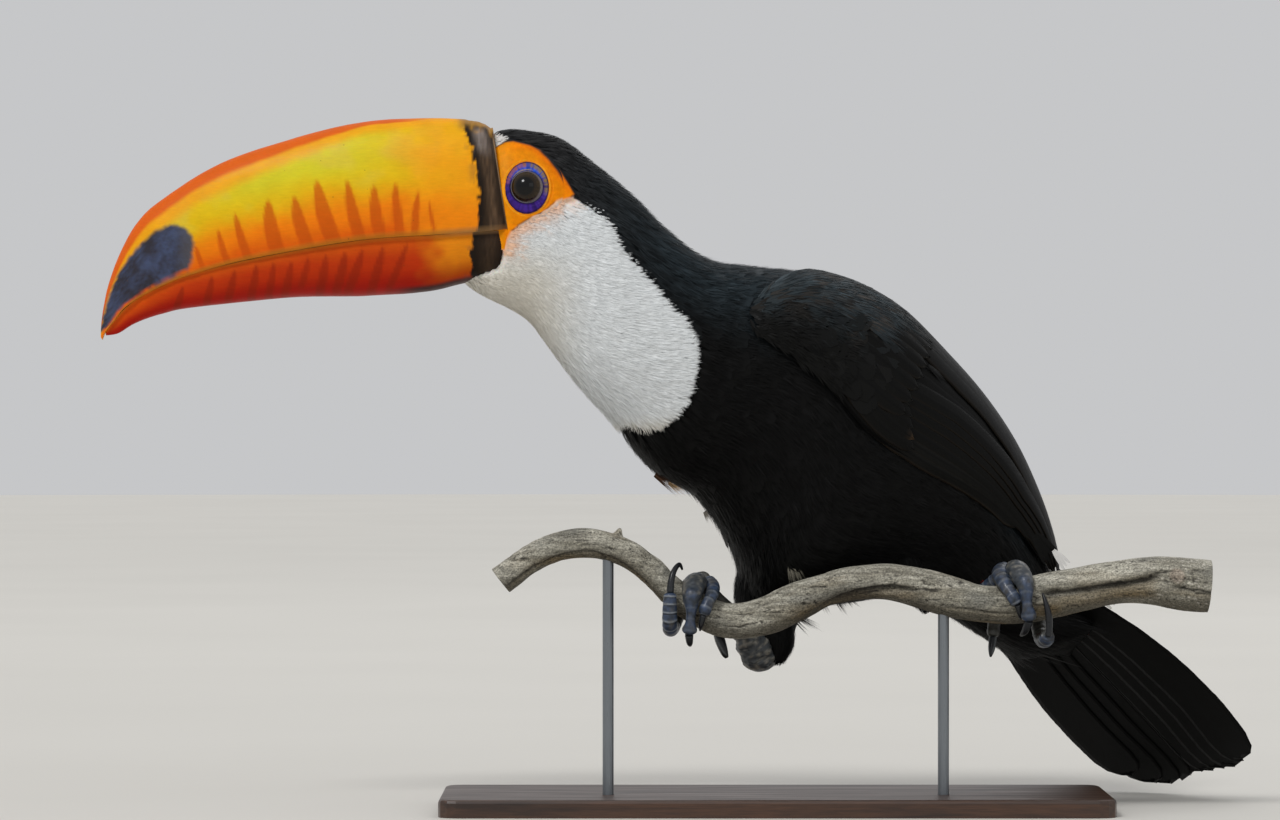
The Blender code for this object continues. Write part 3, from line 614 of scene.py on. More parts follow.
legLines = {
    "right": {
        "thigh": [(16, 32, 126, 15), (9, 27, 103, 12), (3, 21, 83, 9.4), (1, 17.5, 72, 7.2)],
        "tarsus": [(-4.6, 15.5, 61.8, 5.0), (-6.2, 14.8, 67.5, 8.4), (-10.5, 12, 76, 7.8),
                   (-16.5, 7.5, 85, 4.6), (-27, -0.5, 96, 3.4), (-32, -5.5, 102, 4.6),
                   (-33.5, -8.5, 104, 4.8)],
        "toe_3": [(-35, -12, 102.4, 5), (-36.6, -18.6, 101.4, 5.2), (-37.8, -23.8, 96.6, 4.2),
                  (-37.9, -25.4, 91, 2.7), (-38.4, -25.5, 85, 2.5), (-38.8, -24.2, 80.3, 3.1)],
        "claw_3": [(-38.8, -23.2, 79, 2.4), (-38.6, -21.8, 76.6, 1.9), (-38.2, -18.7, 74.8, 0.6)],
        "toe_2": [(-30, -9, 103, 3.2), (-28.2, -15, 101, 3.1), (-28.6, -21.5, 97.5, 3), (-31, -24.6, 93, 2.8),
                  (-32.6, -24.9, 88.5, 2.4)],
        "claw_2": [(-32.8, -24.8, 87.5, 1.9), (-33.6, -24, 84.4, 1.5), (-34, -21.4, 81.6, 0.5)],
        "toe_4": [(-37.5, -4.5, 103, 3.6), (-42, -2.6, 94, 3.6), (-45.4, -6.5, 84.6, 3.5),
                  (-47, -15.5, 82.2, 3.5), (-47.4, -23, 84.8, 3.5), (-47.5, -25, 91, 3.4),
                  (-47.3, -24.8, 98.8, 2.9)],
        "claw_4": [(-47.2, -24.6, 99.8, 2.1), (-46.8, -24, 104, 1.9), (-45.5, -22.4, 108.4, 1.5),
                   (-43.2, -19.4, 111, 1), (-41.8, -17.2, 108.6, 0.5)],
        "toe_1": [(-30.5, -4, 100, 3.1), (-27.6, -2.8, 91, 3), (-26.3, -4.6, 82.4, 2.6)],
        "claw_1": [(-26, -5.2, 81, 2.5), (-24.9, -6.6, 77, 2.8), (-23, -8, 71.6, 2),
                   (-21.8, -7.6, 68.8, 0.8)],
    },
    "left": {
        "thigh": [(50, 25, 130, 14), (57, 17, 112, 10), (63, 15.5, 99, 6.4)],
        "tarsus": [(66, 15.5, 95, 4.8), (71, 13.5, 93, 4.2), (81, 8, 93.5, 3.4), (93, 0.5, 98, 3.4),
                   (102, -6.0, 105.5, 4.2), (105.5, -8.5, 109, 4.8)],
        "toe_3": [(106.6, -12, 108, 5), (108.4, -18.5, 107, 5.2), (110.8, -24.4, 102, 3.9),
                  (111.2, -26.9, 96.5, 2.9), (112, -27.2, 90.4, 2.8), (112.4, -26, 86.8, 3.1)],
        "claw_3": [(112.2, -25, 85.4, 2.4), (111, -22.6, 81.8, 1.9), (109.2, -19, 79.4, 0.6)],
        "toe_2": [(102.2, -9.4, 108.4, 3.8), (100.4, -15.4, 106.2, 4), (102.4, -22, 101.6, 3.5),
                  (105.6, -25.6, 96.4, 2.8), (107.2, -25.9, 93.4, 2.4)],
        "claw_2": [(107.6, -25.6, 92.2, 1.9), (108.4, -24.6, 89.2, 1.4), (108.8, -22.4, 86.8, 0.5)],
        "toe_4": [(109.6, -5, 107, 3.6), (115, -1.4, 96, 3.6), (118, -4.6, 84.4, 3.6), (119.4, -12, 78, 3.8),
                  (120.3, -19.6, 78, 3.8), (120.8, -24, 79.8, 3.2)],
        "claw_4": [(121.2, -25.4, 80.8, 2.2), (121.2, -27.4, 87, 2), (120, -27.2, 93.4, 1.5),
                   (118.4, -26, 98.6, 0.6)],
        "toe_1": [(101.6, -4.4, 105, 3.3), (99.4, -2, 95, 3.2), (98.4, -3.4, 84.6, 3.1),
                  (97.8, -4.6, 78, 2.6)],
        "claw_1": [(97.6, -5.2, 76.6, 2.3), (97, -6.8, 72.8, 1.9), (96.4, -8.8, 69.4, 0.6)],
    },
}
perchValues = {
    "y": -14.0,
    "line": [(-123, 103.5, 6.4), (-110, 113, 6.2), (-97, 119, 6.4), (-83, 120.5, 6.6), (-70, 117.5, 6.3),
             (-58, 110, 5.9), (-48, 100.5, 6.1), (-36, 91.5, 7.2), (-25, 86.5, 7.8), (-13, 86, 8.2),
             (0, 89.8, 8.5), (11, 95, 8.4), (22, 99.5, 7.4), (34, 102.5, 7.4), (50, 103, 8.1), (65, 100, 8.7),
             (79, 96.3, 9), (92, 93.3, 8.2), (106, 93.4, 8.8), (119, 96.4, 10.2), (135, 99.8, 9.8),
             (151, 102.6, 9.3), (169, 103.4, 10.7), (182, 102.2, 11.6), (194, 101.2, 11.5)],
}
perchTable = smoothTable([(x, perchValues["y"], z, r) for x, z, r in perchValues["line"]], 400)


def perchCentre(x):
    return triple(x, np.full(x.shape, perchValues["y"]),
        np.interp(x, perchTable[1][:, 0], perchTable[1][:, 2]))


class limbLine:  # a smooth centreline with its radius, its length and a front for every place along it
    def __init__(self, line, front, count=240):
        table = smoothTable(line, count)[1]
        self.centre, self.radius = table[:, :3], table[:, 3]
        self.along = unit(np.gradient(self.centre, axis=0))
        step = np.linalg.norm(np.diff(self.centre, axis=0), axis=1)
        self.reach = np.concatenate([[0], np.cumsum(step)])
        face = front(self.centre) if callable(front) else np.tile(front, (count, 1))
        face = face - (face * self.along).sum(1)[:, None] * self.along
        self.front = unit(face)
        self.side = np.cross(self.along, self.front)

    def read(self, rows, t):
        place = np.clip(t, 0, 1) * (len(rows) - 1)
        i = np.clip(place.astype(int), 0, len(rows) - 2)
        k = place - i
        k = k[:, None] if rows.ndim > 1 else k
        return rows[i] * (1 - k) + rows[i + 1] * k

    def point(self, t, turn, swell):  # swell is the distance from the centreline as a share of the radius
        radius = self.read(self.radius, t) * swell
        ring = (self.read(self.front, t) * np.cos(turn)[:, None]
            + self.read(self.side, t) * np.sin(turn)[:, None])
        return self.read(self.centre, t) + ring * radius[:, None]


def awayFromPerch(points):
    return points - perchCentre(points[:, 0])


def roundEnds(t, start, end):  # share of the radius left near a tube's rounded ends
    first = np.sqrt(np.clip(1 - (1 - np.clip(t / start, 0, 1)) ** 2, 0, 1))
    last = np.sqrt(np.clip(1 - (1 - np.clip((1 - t) / end, 0, 1)) ** 2, 0, 1))
    return first * last


toeValues = {"scuteRise": 0.10, "padRise": 0.05, "ring": 26, "step": 0.47}
toeScutes = {  # pitch and strength of the plates, and how far the last joint swells
    "toe_3": (4.6, 0.2, 0.2), "toe_2": (3.4, 0.5, 0.1), "toe_4": (3.4, 1.0, 0.0), "toe_1": (3.4, 0.8, 0.06)}


def kneeShare(toEnd, turn):  # a smooth round joint on the front of the middle toe
    return np.exp(-(((toEnd - 16.0) / 2.3) ** 4) - (turn * 1.6) ** 4)


def toePart(side, name):
    line = limbLine(legLines[side][name], awayFromPerch)
    length = line.reach[-1]
    pitch, strength, ball = toeScutes[name]

    def place(down, across):
        turn = turnAt(across)
        mmDown = line.read(line.reach, down)
        phase = (mmDown / pitch + 0.08 * np.cos(turn)) % 1.0
        # a plate ends in a raised edge, then a groove
        plate = softStep(phase, 0.0, 0.16) * (1 - 0.35 * phase)
        back = softStep(np.cos(turn), -0.15, 0.35)
        pads = 0.5 + 0.5 * np.cos(2 * math.pi * mmDown / (pitch * 1.25))
        grain = softNoise(line.point(down, turn, np.ones_like(down)), 0.7, 8) * 0.018
        swell = 1 - toeValues["scuteRise"] * strength * (1 - 1.3 * plate * back)
        swell = swell + (1 - back) * toeValues["padRise"] * pads + grain
        toEnd = length - mmDown  # the last joint is a ball, with a slimmer shaft before it
        swell = (swell + ball * (np.exp(-((toEnd - 2.4) / 1.7) ** 2)
            - 0.8 * np.exp(-((toEnd - 7.5) / 3.0) ** 2)))
        if ball > 0.15:
            knuckle = 0.03 * softNoise(line.point(down, turn, swell), 1.0, 9) * (toEnd > 13)
            swell = swell + 0.2 * kneeShare(toEnd, turn) + knuckle
        return line.point(down, turn, swell * roundEnds(down, 1.6 / length, 2.6 / length))

    part = gridPart(int(length / toeValues["step"]), toeValues["ring"], place)
    turn = turnAt(part["across"])
    phase = (line.read(line.reach, part["down"]) / pitch + 0.08 * np.cos(turn)) % 1.0
    toEnd = length - line.read(line.reach, part["down"])
    worn = softStep(toEnd, 12.5, 15.0) * (1 - kneeShare(toEnd, turn)) * (ball > 0.15)
    part["tint"] = footTint(part["co"], phase, softStep(np.cos(turn), -0.15, 0.35), strength, 0.85 * worn)
    part["material"] = 1
    return part


footColours = {"plate": "#22282F", "shine": "#3A4A66", "edge": "#888D92",
               "groove": "#0B0D10", "pad": "#33332F",
               "dust": "#55514A", "heel": "#3A3E41", "dry": "#77736A"}


def footTint(co, phase, back, strength, worn=0.0):  # worn skin is grey, wrinkled and pebbled
    mottle = softNoise(co, 1.6, 12)
    # the shine colour is a painted blue sheen, mottled over the dark plates
    tint = blendColours(footColours["plate"], footColours["shine"], np.clip(0.45 + 0.5 * mottle, 0, 1))
    groove = softStep(phase, 0.16, 0.02) + softStep(phase, 0.93, 1.0)
    edge = softStep(phase, 0.12, 0.2) * softStep(phase, 0.42, 0.24)
    strength = np.asarray(strength) * np.ones(len(co))
    tint = paint(tint, footColours,
        ("edge", 0.85 * edge * back * strength),
        ("groove", np.clip(0.85 * groove, 0, 1) * back * strength),
        ("pad", 1 - back))
    dust = softStep(softNoise(co, 2.6, 14), 0.1, 0.8) * 0.5
    tint = blendColours(tint, footColours["dust"], dust)
    grey = paint(footColours["heel"], footColours,
        ("dry", softStep(softNoise(co, 1.7, 19) + 0.4 * softNoise(co, 0.7, 21), 0.0, 0.7)),
        ("groove", 0.6 * softStep(softNoise(co, 0.9, 20), 0.2, 0.7)))
    return blendColours(tint, grey, worn * np.ones(len(co)))


def legParts(side):
    parts = []
    thigh = limbLine(legLines[side]["thigh"], (-1.0, 0.0, 0.0))
    part = gridPart(40, 28, lambda down, across: thigh.point(
        down, across * math.tau, 0.78 * roundEnds(down, 0.1, 0.12)))
    part["tint"] = colourArray(plumageColours["black"], part["co"])
    parts.append(part)
    shin = limbLine(legLines[side]["tarsus"], (-1.0, -0.6, 0.2))
    length = shin.reach[-1]

    def place(down, across):
        turn = turnAt(across)
        phase = (shin.read(shin.reach, down) / 4.4) % 1.0
        plate = softStep(phase, 0.0, 0.14) * (1 - 0.3 * phase) * softStep(down, 0.4, 0.6)
        back = softStep(np.cos(turn), -0.1, 0.5)
        middle = shin.point(down, turn, np.ones_like(down))
        grain = softNoise(middle, 0.9, 18) * 0.02
        grain = (grain + (0.12 * softNoise(middle, 3.4, 19) + 0.07 * softNoise(middle, 1.5, 22))
            * softStep(down, 0.6, 0.4))
        return shin.point(down, turn, (0.92 + 0.1 * plate * back + grain) * roundEnds(down, 0.09, 0.06))

    part = gridPart(int(length / 0.5), 28, place)
    turn = turnAt(part["across"])
    phase = (shin.read(shin.reach, part["down"]) / 4.4) % 1.0
    part["tint"] = footTint(part["co"], phase, softStep(np.cos(turn), -0.1, 0.5),
        0.6 * softStep(part["down"], 0.4, 0.6), softStep(part["down"], 0.62, 0.4))
    part["material"] = 1
    parts.append(part)
    return parts + [toePart(side, name) for name in toeScutes]


# bare and feathered skin: soft and a little greasy, finely pebbled where it shows
faceSkin, tree, shader = newMaterial("faceSkin", {
    "Roughness": 0.45, "Subsurface Weight": 0.12, "Subsurface Scale": 0.002, "IOR": 1.4,
    "Specular IOR Level": 0.1,
    "Subsurface Radius": (1.0, 0.35, 0.12)})
place = addNode(tree, "TexCoord", {}).outputs["Object"]
tint = addNode(tree, "Attribute", {"attribute_name": "tint"})
pores = addNode(tree, "TexVoronoi", {"Vector": place, "Scale": 1 / (0.7 * mm)})
tone = addNode(tree, "TexNoise", {"Vector": place, "Scale": 1 / (2.5 * mm), "Detail": 3.0})
shade = addNode(tree, "MapRange", {**noiseSpan, 0: tone, 3: 0.86, 4: 1.08})
colour = addNode(tree, "Mix", {**multiplied, 6: tint, 7: shade})
bump = addNode(tree, "Bump", {"Height": pores, "Strength": 0.35, "Distance": 0.00012})
setNode(tree, shader, {"Base Color": colour.outputs[2], "Normal": bump})

# horny scutes: dry, slightly waxy plates over grey-blue skin
footSkin, tree, shader = newMaterial("footScutes", {"Roughness": 0.4, "IOR": 1.42, "Coat Weight": 0.12,
    "Coat Roughness": 0.16})
place = addNode(tree, "TexCoord", {}).outputs["Object"]
tint = addNode(tree, "Attribute", {"attribute_name": "tint"})
cells = addNode(tree, "TexVoronoi", {"Vector": place, "Scale": 1 / (0.55 * mm)})
tone = addNode(tree, "TexNoise", {"Vector": place, "Scale": 1 / (0.9 * mm), "Detail": 4.0})
shade = addNode(tree, "MapRange", {**noiseSpan, 0: tone, 3: 0.72, 4: 1.15})
colour = addNode(tree, "Mix", {**multiplied, 6: tint, 7: shade})
rough = addNode(tree, "MapRange", {**noiseSpan, 0: tone, 3: 0.3, 4: 0.6})
bump = addNode(tree, "Bump", {"Height": cells, "Strength": 0.3, "Distance": 0.0001})
setNode(tree, shader, {"Base Color": colour.outputs[2], "Roughness": rough, "Normal": bump})

skinParts = [skinGrid, orbitPatch("left"), orbitPatch("right")] + legParts("left") + legParts("right")
skinNodes = ["head", "neck", "trunk"]
for side in ("left", "right"):
    skinNodes += ["thigh_" + side, "tarsus_" + side] + ["toe_%s_%d" % (side, n) for n in (1, 2, 3, 4)]
buildPiece("skin", skinParts, [faceSkin, footSkin], skinNodes)


# Eyes: a dark iris under a clear, wet dome

eyeColours = {"pupil": "#010101", "iris": "#211506", "irisLight": "#3B2B10", "rim": "#857A76"}


def eyePart(side):
    sign = 1 if side == "right" else -1
    centre = eyeCentre[side]
    gaze = unit(np.array([-0.10, sign * 1.0, 0.05]))
    lift = unit(np.cross(gaze, np.array([1.0, 0, 0])))
    level = np.cross(lift, gaze)

    def place(down, across):
        tilt = down ** 1.2 * math.pi
        turn = across * math.tau
        dome = 0.75 * softStep(tilt, 0.85, 0.0)  # the cornea stands a little proud
        radius = (eyeRadius - 0.15 + dome)[:, None]
        ring = level * np.cos(turn)[:, None] + lift * np.sin(turn)[:, None]
        return centre + radius * (gaze * np.cos(tilt)[:, None] + ring * np.sin(tilt)[:, None])

    part = gridPart(56, 72, place)
    reach = np.arccos(np.clip(unit(part["co"] - centre) @ gaze, -1, 1)) * eyeRadius
    turn = np.arctan2((part["co"] - centre) @ lift, (part["co"] - centre) @ level)
    streak = softNoise(triple(turn * 20, reach * 0.6, 0), 1.0, 2)
    iris = paint(eyeColours["iris"], eyeColours,
        ("irisLight", np.clip(softStep(reach, 4.5, 6.5) * (0.5 + 0.5 * streak), 0, 1)),
        ("pupil", softStep(reach, 4.4, 3.9)))
    seen = np.sin(np.minimum(reach / eyeRadius, math.pi / 2)) * eyeRadius
    part["tint"] = blendColours(iris, eyeColours["rim"], softStep(seen, 6.76, 6.9))
    return part


# the eye's wet surface: colour below, a clear smooth film above
eyeMaterial, tree, shader = newMaterial("wetEye", {"Roughness": 0.25, "Coat Weight": 1.0,
    "Coat Roughness": 0.01, "Coat IOR": 1.34, "IOR": 1.3, "Specular IOR Level": 0.1})
place = addNode(tree, "TexCoord", {}).outputs["Object"]
tint = addNode(tree, "Attribute", {"attribute_name": "tint"})
fleck = addNode(tree, "TexNoise", {"Vector": place, "Scale": 1 / (0.6 * mm), "Detail": 2.0})
shade = addNode(tree, "MapRange", {**noiseSpan, 0: fleck, 3: 0.7, 4: 1.25})
colour = addNode(tree, "Mix", {**multiplied, 6: tint, 7: shade})
setNode(tree, shader, {"Base Color": colour.outputs[2]})
for side in ("left", "right"):
    buildPiece("eyeball_" + side, [eyePart(side)], [eyeMaterial], ["eye_" + side])


# Bill: two hollow-looking horny halves, painted by the same markings on both sides

billValues = {
    "upper": [(-126.6, 305.8, -119.3, 260.7, 22.5), (-135, 309.8, -131, 259.5, 22.8),
              (-158, 310.8, -153, 258, 22), (-187, 308.8, -183, 256, 20.5), (-218, 301.2, -213, 251.4, 18),
              (-250, 290, -241, 246, 15), (-275.5, 274, -262.5, 240.2, 12), (-286, 264.2, -273, 236.2, 10.2),
              (-293.5, 251.2, -283, 231.3, 8), (-298.5, 238.2, -291.5, 225.6, 5.8),
              (-301, 227.6, -296.5, 219.6, 4), (-302.3, 218.6, -300.4, 214.8, 2.2),
              (-302.6, 212.6, -301.8, 211.4, 0.9)],
    "lower": [(-119.5, 260.2, -122.8, 240.6, 19.5), (-137, 259.1, -141, 236.6, 19.8),
              (-153, 257.8, -156, 233.2, 19.2), (-182, 255.9, -183, 231.2, 17.8),
              (-213, 251.2, -215, 230.6, 15.6), (-243, 245.3, -243, 228, 12.8),
              (-262.5, 240.2, -265, 225.5, 10.2), (-273, 236.1, -273.5, 223.6, 8.4),
              (-282.5, 231.5, -281.5, 221.2, 6.4), (-290.5, 226.1, -288.5, 218.2, 4.2),
              (-296.4, 220, -294.8, 214.4, 2.4), (-300.4, 215.0, -300.3, 213.4, 0.8)],
    "lip": 0.35, "bandSink": 0.25, "rim": 0.45, "tomiumNotch": 0.22,
}
billColours = {
    "orange": "#F58206", "deepOrange": "#E05A04", "amber": "#F4A010", "yellow": "#E6BC10", "green": "#D8CC24",
    "pale": "#DEC440", "culmen": "#DC4E14", "flame": "#C85004", "lowerTop": "#CC5204", "lowerMid": "#BC3404",
    "lowerLow": "#AE1502", "lowerMark": "#8E2204", "tip": "#35333C", "tipShine": "#4C5878",
    "tipGrey": "#575456",
    "band": "#241A12", "bandMid": "#5E4936", "bandGrey": "#857A74", "culmenBrown": "#8E6A34",
    "bandBlack": "#15100C", "rim": "#8C7253", "lipLine": "#D8902A",
    "lipPale": "#B08A5C", "speck": "#5A3A12",
}
tipPatch = [(-300, 216.9), (-292.6, 226.5), (-282.7, 233), (-270.5, 238.9), (-263, 242.5), (-260.6, 247),
            (-259.8, 253.6), (-260.8, 258.2), (-264.5, 261.5), (-270.5, 262.9), (-277.8, 260.0),
            (-285.2, 252.9), (-292.6, 243.8), (-297.3, 234.5), (-301.2, 222.6), (-303.5, 214)]
flames = [  # top, foot and greatest width of each mark on the upper half
    ((-259.0, 253.8), (-256.0, 244.0), 2.4), ((-249.0, 261.2), (-244.5, 245.0), 3.0),
    ((-241.5, 268.7), (-234.8, 246.0), 3.8),
    ((-226.5, 274.6), (-221.8, 249.0), 6.6), ((-214.9, 276.3), (-207.9, 251.0), 6.0),
    ((-204.9, 283.5), (-196.2, 253.0), 7.2),
    ((-191.2, 283.4), (-184.6, 254.0), 5.4), ((-179.1, 281.0), (-175.9, 256.0), 5.4),
    ((-169.6, 282.1), (-167.0, 257.5), 4.2),
    ((-159.0, 278.5), (-160.8, 258.5), 3.2), ((-154.6, 273.2), (-152.2, 260.0), 1.6)]
lowerMarks = [
    ((-265, 235.5), (-268, 226.0), 3.0), ((-251.8, 240.3), (-254.5, 228.0), 3.2),
    ((-241.5, 243.0), (-244.8, 229.5), 3.4),
    ((-231.8, 245.6), (-234.6, 230.0), 3.4), ((-224.0, 246.5), (-226.8, 230.5), 3.2),
    ((-216.0, 247.0), (-219.6, 231.0), 3.6),
    ((-208.5, 248.5), (-211.6, 236.0), 3.0), ((-200.5, 250.2), (-204.1, 231.5), 3.8),
    ((-192.0, 251.5), (-196.2, 233.0), 4.0),
    ((-184.0, 252.5), (-190.8, 233.5), 4.2), ((-175.0, 253.8), (-180.6, 233.5), 4.0),
    ((-164.0, 255.0), (-172.3, 235.0), 3.2)]
billTables = {half: smoothTable(billValues[half], 500) for half in ("upper", "lower")}
archShare = 0.82


def billPoint(half, t, around):  # t from the face to the tip; the last part of "around" is the mouth side
    arch = 1 if half == "upper" else -1
    topU, topZ, lowU, lowZ, halfWidth = readTable(billTables[half], t * (len(billValues[half]) - 1))
    ridge = (topU, topZ) if arch > 0 else (lowU, lowZ)
    mouth = (lowU, lowZ) if arch > 0 else (topU, topZ)

    def archPlace(angle):
        height = np.clip(np.sin(angle), 0, 1) ** 0.82
        across = np.sign(np.cos(angle)) * np.abs(np.cos(angle)) ** 0.72
        u = mouth[0] + (ridge[0] - mouth[0]) * height
        z = mouth[1] + (ridge[1] - mouth[1]) * height
        return bend(u, arch * across * halfWidth * (1 - 0.08 * (1 - height) ** 2), z)

    outer = archPlace(np.clip(around / archShare, 0, 1) * math.pi)
    inner = np.clip((around - archShare) / (1 - archShare), 0, 1)[:, None]
    mouthSide = archPlace(around * 0 + math.pi) * (1 - inner) + archPlace(around * 0) * inner
    return np.where(around[:, None] <= archShare, outer, mouthSide)


def billHeights(half, x):  # heights of the mouth line and of the ridge above a place along the bill
    rows = billTables[half][1]
    top = np.interp(-x, -rows[:, 0], rows[:, 1])
    low = np.interp(-x, -rows[:, 2], rows[:, 3])
    return (low, top) if half == "upper" else (top, low)


def ridgeShare(half, x, z):  # 0 at the mouth line, 1 at the ridge
    mouth, ridge = billHeights(half, x)
    return np.clip((z - mouth) / (ridge - mouth), 0, 1)


def backReach(half, x, z):  # distance forward from the bill's rear edge
    share = ridgeShare(half, x, z)
    rows = billTables[half][1][0]
    start = (rows[2], rows[0]) if half == "upper" else (rows[0], rows[2])
    return start[0] + (start[1] - start[0]) * share - x


def strokes(marks, x, z, bow):  # how strongly pointed, bowed marks cover a place
    cover = np.zeros(x.shape)
    for (topX, topZ), (footX, footZ), width in marks:
        t = np.clip((topZ - z) / (topZ - footZ), -0.2, 1.4)
        line = topX + (footX - topX) * np.clip(t, 0, 1.2) + bow * width * np.sin(np.clip(t, 0, 1) * math.pi)
        half = 0.5 * width * np.sin(np.clip(t, 0, 1) ** 0.75 * math.pi * 0.62) / math.sin(math.pi * 0.62)
        inside = (softStep(half * np.where(t < 0, 0, 1) - np.abs(x - line), -0.55, 0.55)
            * softStep(t, -0.02, 0.12))
        cover = np.maximum(cover, inside * softStep(t, 1.3, 0.95))
    return cover


def billTint(half, co):
    x, z = co[:, 0], co[:, 2]
    mouth = billHeights(half, x)[0]
    share = ridgeShare(half, x, z)
    flat = triple(x, 0, z)
    cloud = softNoise(flat, 14, 31) * 0.6 + softNoise(flat, 5, 32) * 0.4
    back = backReach(half, x, z)
    pick = billColours
    if half == "upper":
        edge = share + 0.05 * cloud
        tint = paint(pick["deepOrange"], pick,
            ("orange", softStep(edge, 0.0, 0.26)),
            ("yellow", softStep(edge, 0.22, 0.52)),
            ("green", softStep(edge, 0.42, 0.68) * softStep(x, -150, -205) * softStep(x, -268, -228)),
            ("pale", 0.55 * softStep(cloud, 0.05, 0.6) * softStep(edge, 0.4, 0.6)),
            ("amber", softStep(x + 14 * cloud, -178, -140) * (0.92 - 0.25 * softStep(edge, 0.6, 0.9))),
            ("orange", softStep(edge, 0.42, 0.15) * softStep(x, -172, -146) * 0.75),
            ("flame", 0.78 * strokes(flames, x, z, -0.16)))
        stripe = np.interp(x, [-300, -280, -262, -240, -215, -190, -168, -150],
            [0.32, 0.20, 0.16, 0.15, 0.10, 0.06, 0.03, 0.0])
        tint = paint(tint, pick,
            ("amber", softStep(share + 0.02 * cloud, 0.93 - 1.9 * stripe, 1.0 - 1.4 * stripe) * 0.8),
            ("culmen", softStep(share + 0.02 * cloud, 1.0 - 1.15 * stripe, 1.0 - 0.75 * stripe)
                * softStep(x, -146, -172) * 0.85),
            ("lipLine", softStep(z - mouth, 1.1, 0.5) * 0.75))
        grain = softNoise(triple((x + z) * 0.25, 0, (z - x) * 1.1), 1.2, 33)
        patch = softStep(insideBy(tipPatch, x, z) + 0.35 * softNoise(flat, 1.6, 34) + 0.3 * grain, -1.1, 1.1)
        fine = softNoise(triple((x + z) * 0.3, 0, (z - x) * 1.6), 0.8, 32)
        streak = np.clip(0.5 + 0.3 * fine + 0.2 * grain + 0.6 * softNoise(flat, 7, 35), 0, 1)
        # the blue-grey streaks over the dark tip are a painted sheen, laid along the grain
        tip = paint(pick["tip"], pick,
            ("tipShine", streak * 0.75),
            ("tipGrey", softStep(x, -270, -261) * 0.7))
        tint = blendColours(tint, tip, patch)
        width = np.interp(share, [0, 0.1, 0.35, 0.8, 0.9, 1.0], [13.8, 12.6, 10.6, 11.0, 14.0, 12.0])
    else:
        down = share + 0.06 * cloud
        tint = paint(pick["lowerTop"], pick,
            ("lowerMid", softStep(down, 0.02, 0.42)),
            ("lowerLow", softStep(down, 0.40, 0.92)),
            ("deepOrange", softStep(x, -255, -290) * 0.5 * softStep(down, 0.75, 0.3)),
            ("amber", softStep(x + 10 * cloud, -163, -140) * 0.62 * softStep(down, 1.1, 0.4)),
            ("lowerMark", 0.62 * strokes(lowerMarks, x, z, 0.12)),
            ("lipLine", softStep(mouth - z, 0.9, 0.4) * 0.5))
        dark = softStep(share, 0.86, 0.95) * softStep(x, -178, -158)
        tint = blendColours(tint, pick["bandBlack"], dark * 0.9)
        width = np.interp(share, [0, 0.35, 0.7, 1.0], [15.4, 15.0, 14.2, 13.0])
    ragged = 1.0 * softNoise(flat, 2.2, 36) + 0.7 * softNoise(triple(x, 0, z * 0.4), 0.9, 37)
    band = softStep(width + ragged - back, -0.4, 0.5)
    grain = softNoise(triple(x * 1.6, 0, z * 0.22), 1.0, 38)
    core = np.exp(-((back - width * 0.45) / (width * 0.24)) ** 2) * softStep(share, 1.0, 0.8)
    middle = np.clip(core * (0.75 + 0.5 * grain), 0, 1) * (1.0 if half == "upper" else 0.35)
    colour = blendColours(pick["band"], pick["bandMid"], middle)
    if half == "upper":
        # painted highlight: a grey gleam across the upper part of the dark band
        gleam = np.exp(-((back - 6.2) / 3.0) ** 2) * softStep(share, 0.66, 0.8) * softStep(share, 0.97, 0.88)
        colour = blendColours(colour, pick["bandGrey"], np.clip(gleam * (0.9 + 0.4 * grain), 0, 1))
        brown = softStep(back + 2 * cloud, 17, 12) * softStep(share, 0.86, 0.95)
        tint = blendColours(tint, pick["culmenBrown"], brown * 0.8)
    colour = blendColours(colour, pick["bandBlack"], softStep(back, width - 3.2, width - 1.0) * 0.6)
    stain = (softStep(softNoise(flat, 3.0, 39) + 0.4 * grain, 0.1, 0.7) * softStep(back, width + 6, width)
        * (back > width))
    tint = blendColours(tint, pick["bandMid"], stain * 0.35)
    if half == "upper":
        band = band * softStep(share + 0.035 * ragged, 1.0, 0.9)
    tint = blendColours(tint, colour, band)
    tint = blendColours(tint, pick["lipPale"], 0.55 * softStep(np.abs(z - mouth), 0.9, 0.4)
        * softStep(x, -160, -135))
    # the pale line along the bill's rear edge is a painted highlight
    return blendColours(tint, pick["rim"], softStep(back, 0.8, 0.35) * softStep(share, 0.96, 0.86))


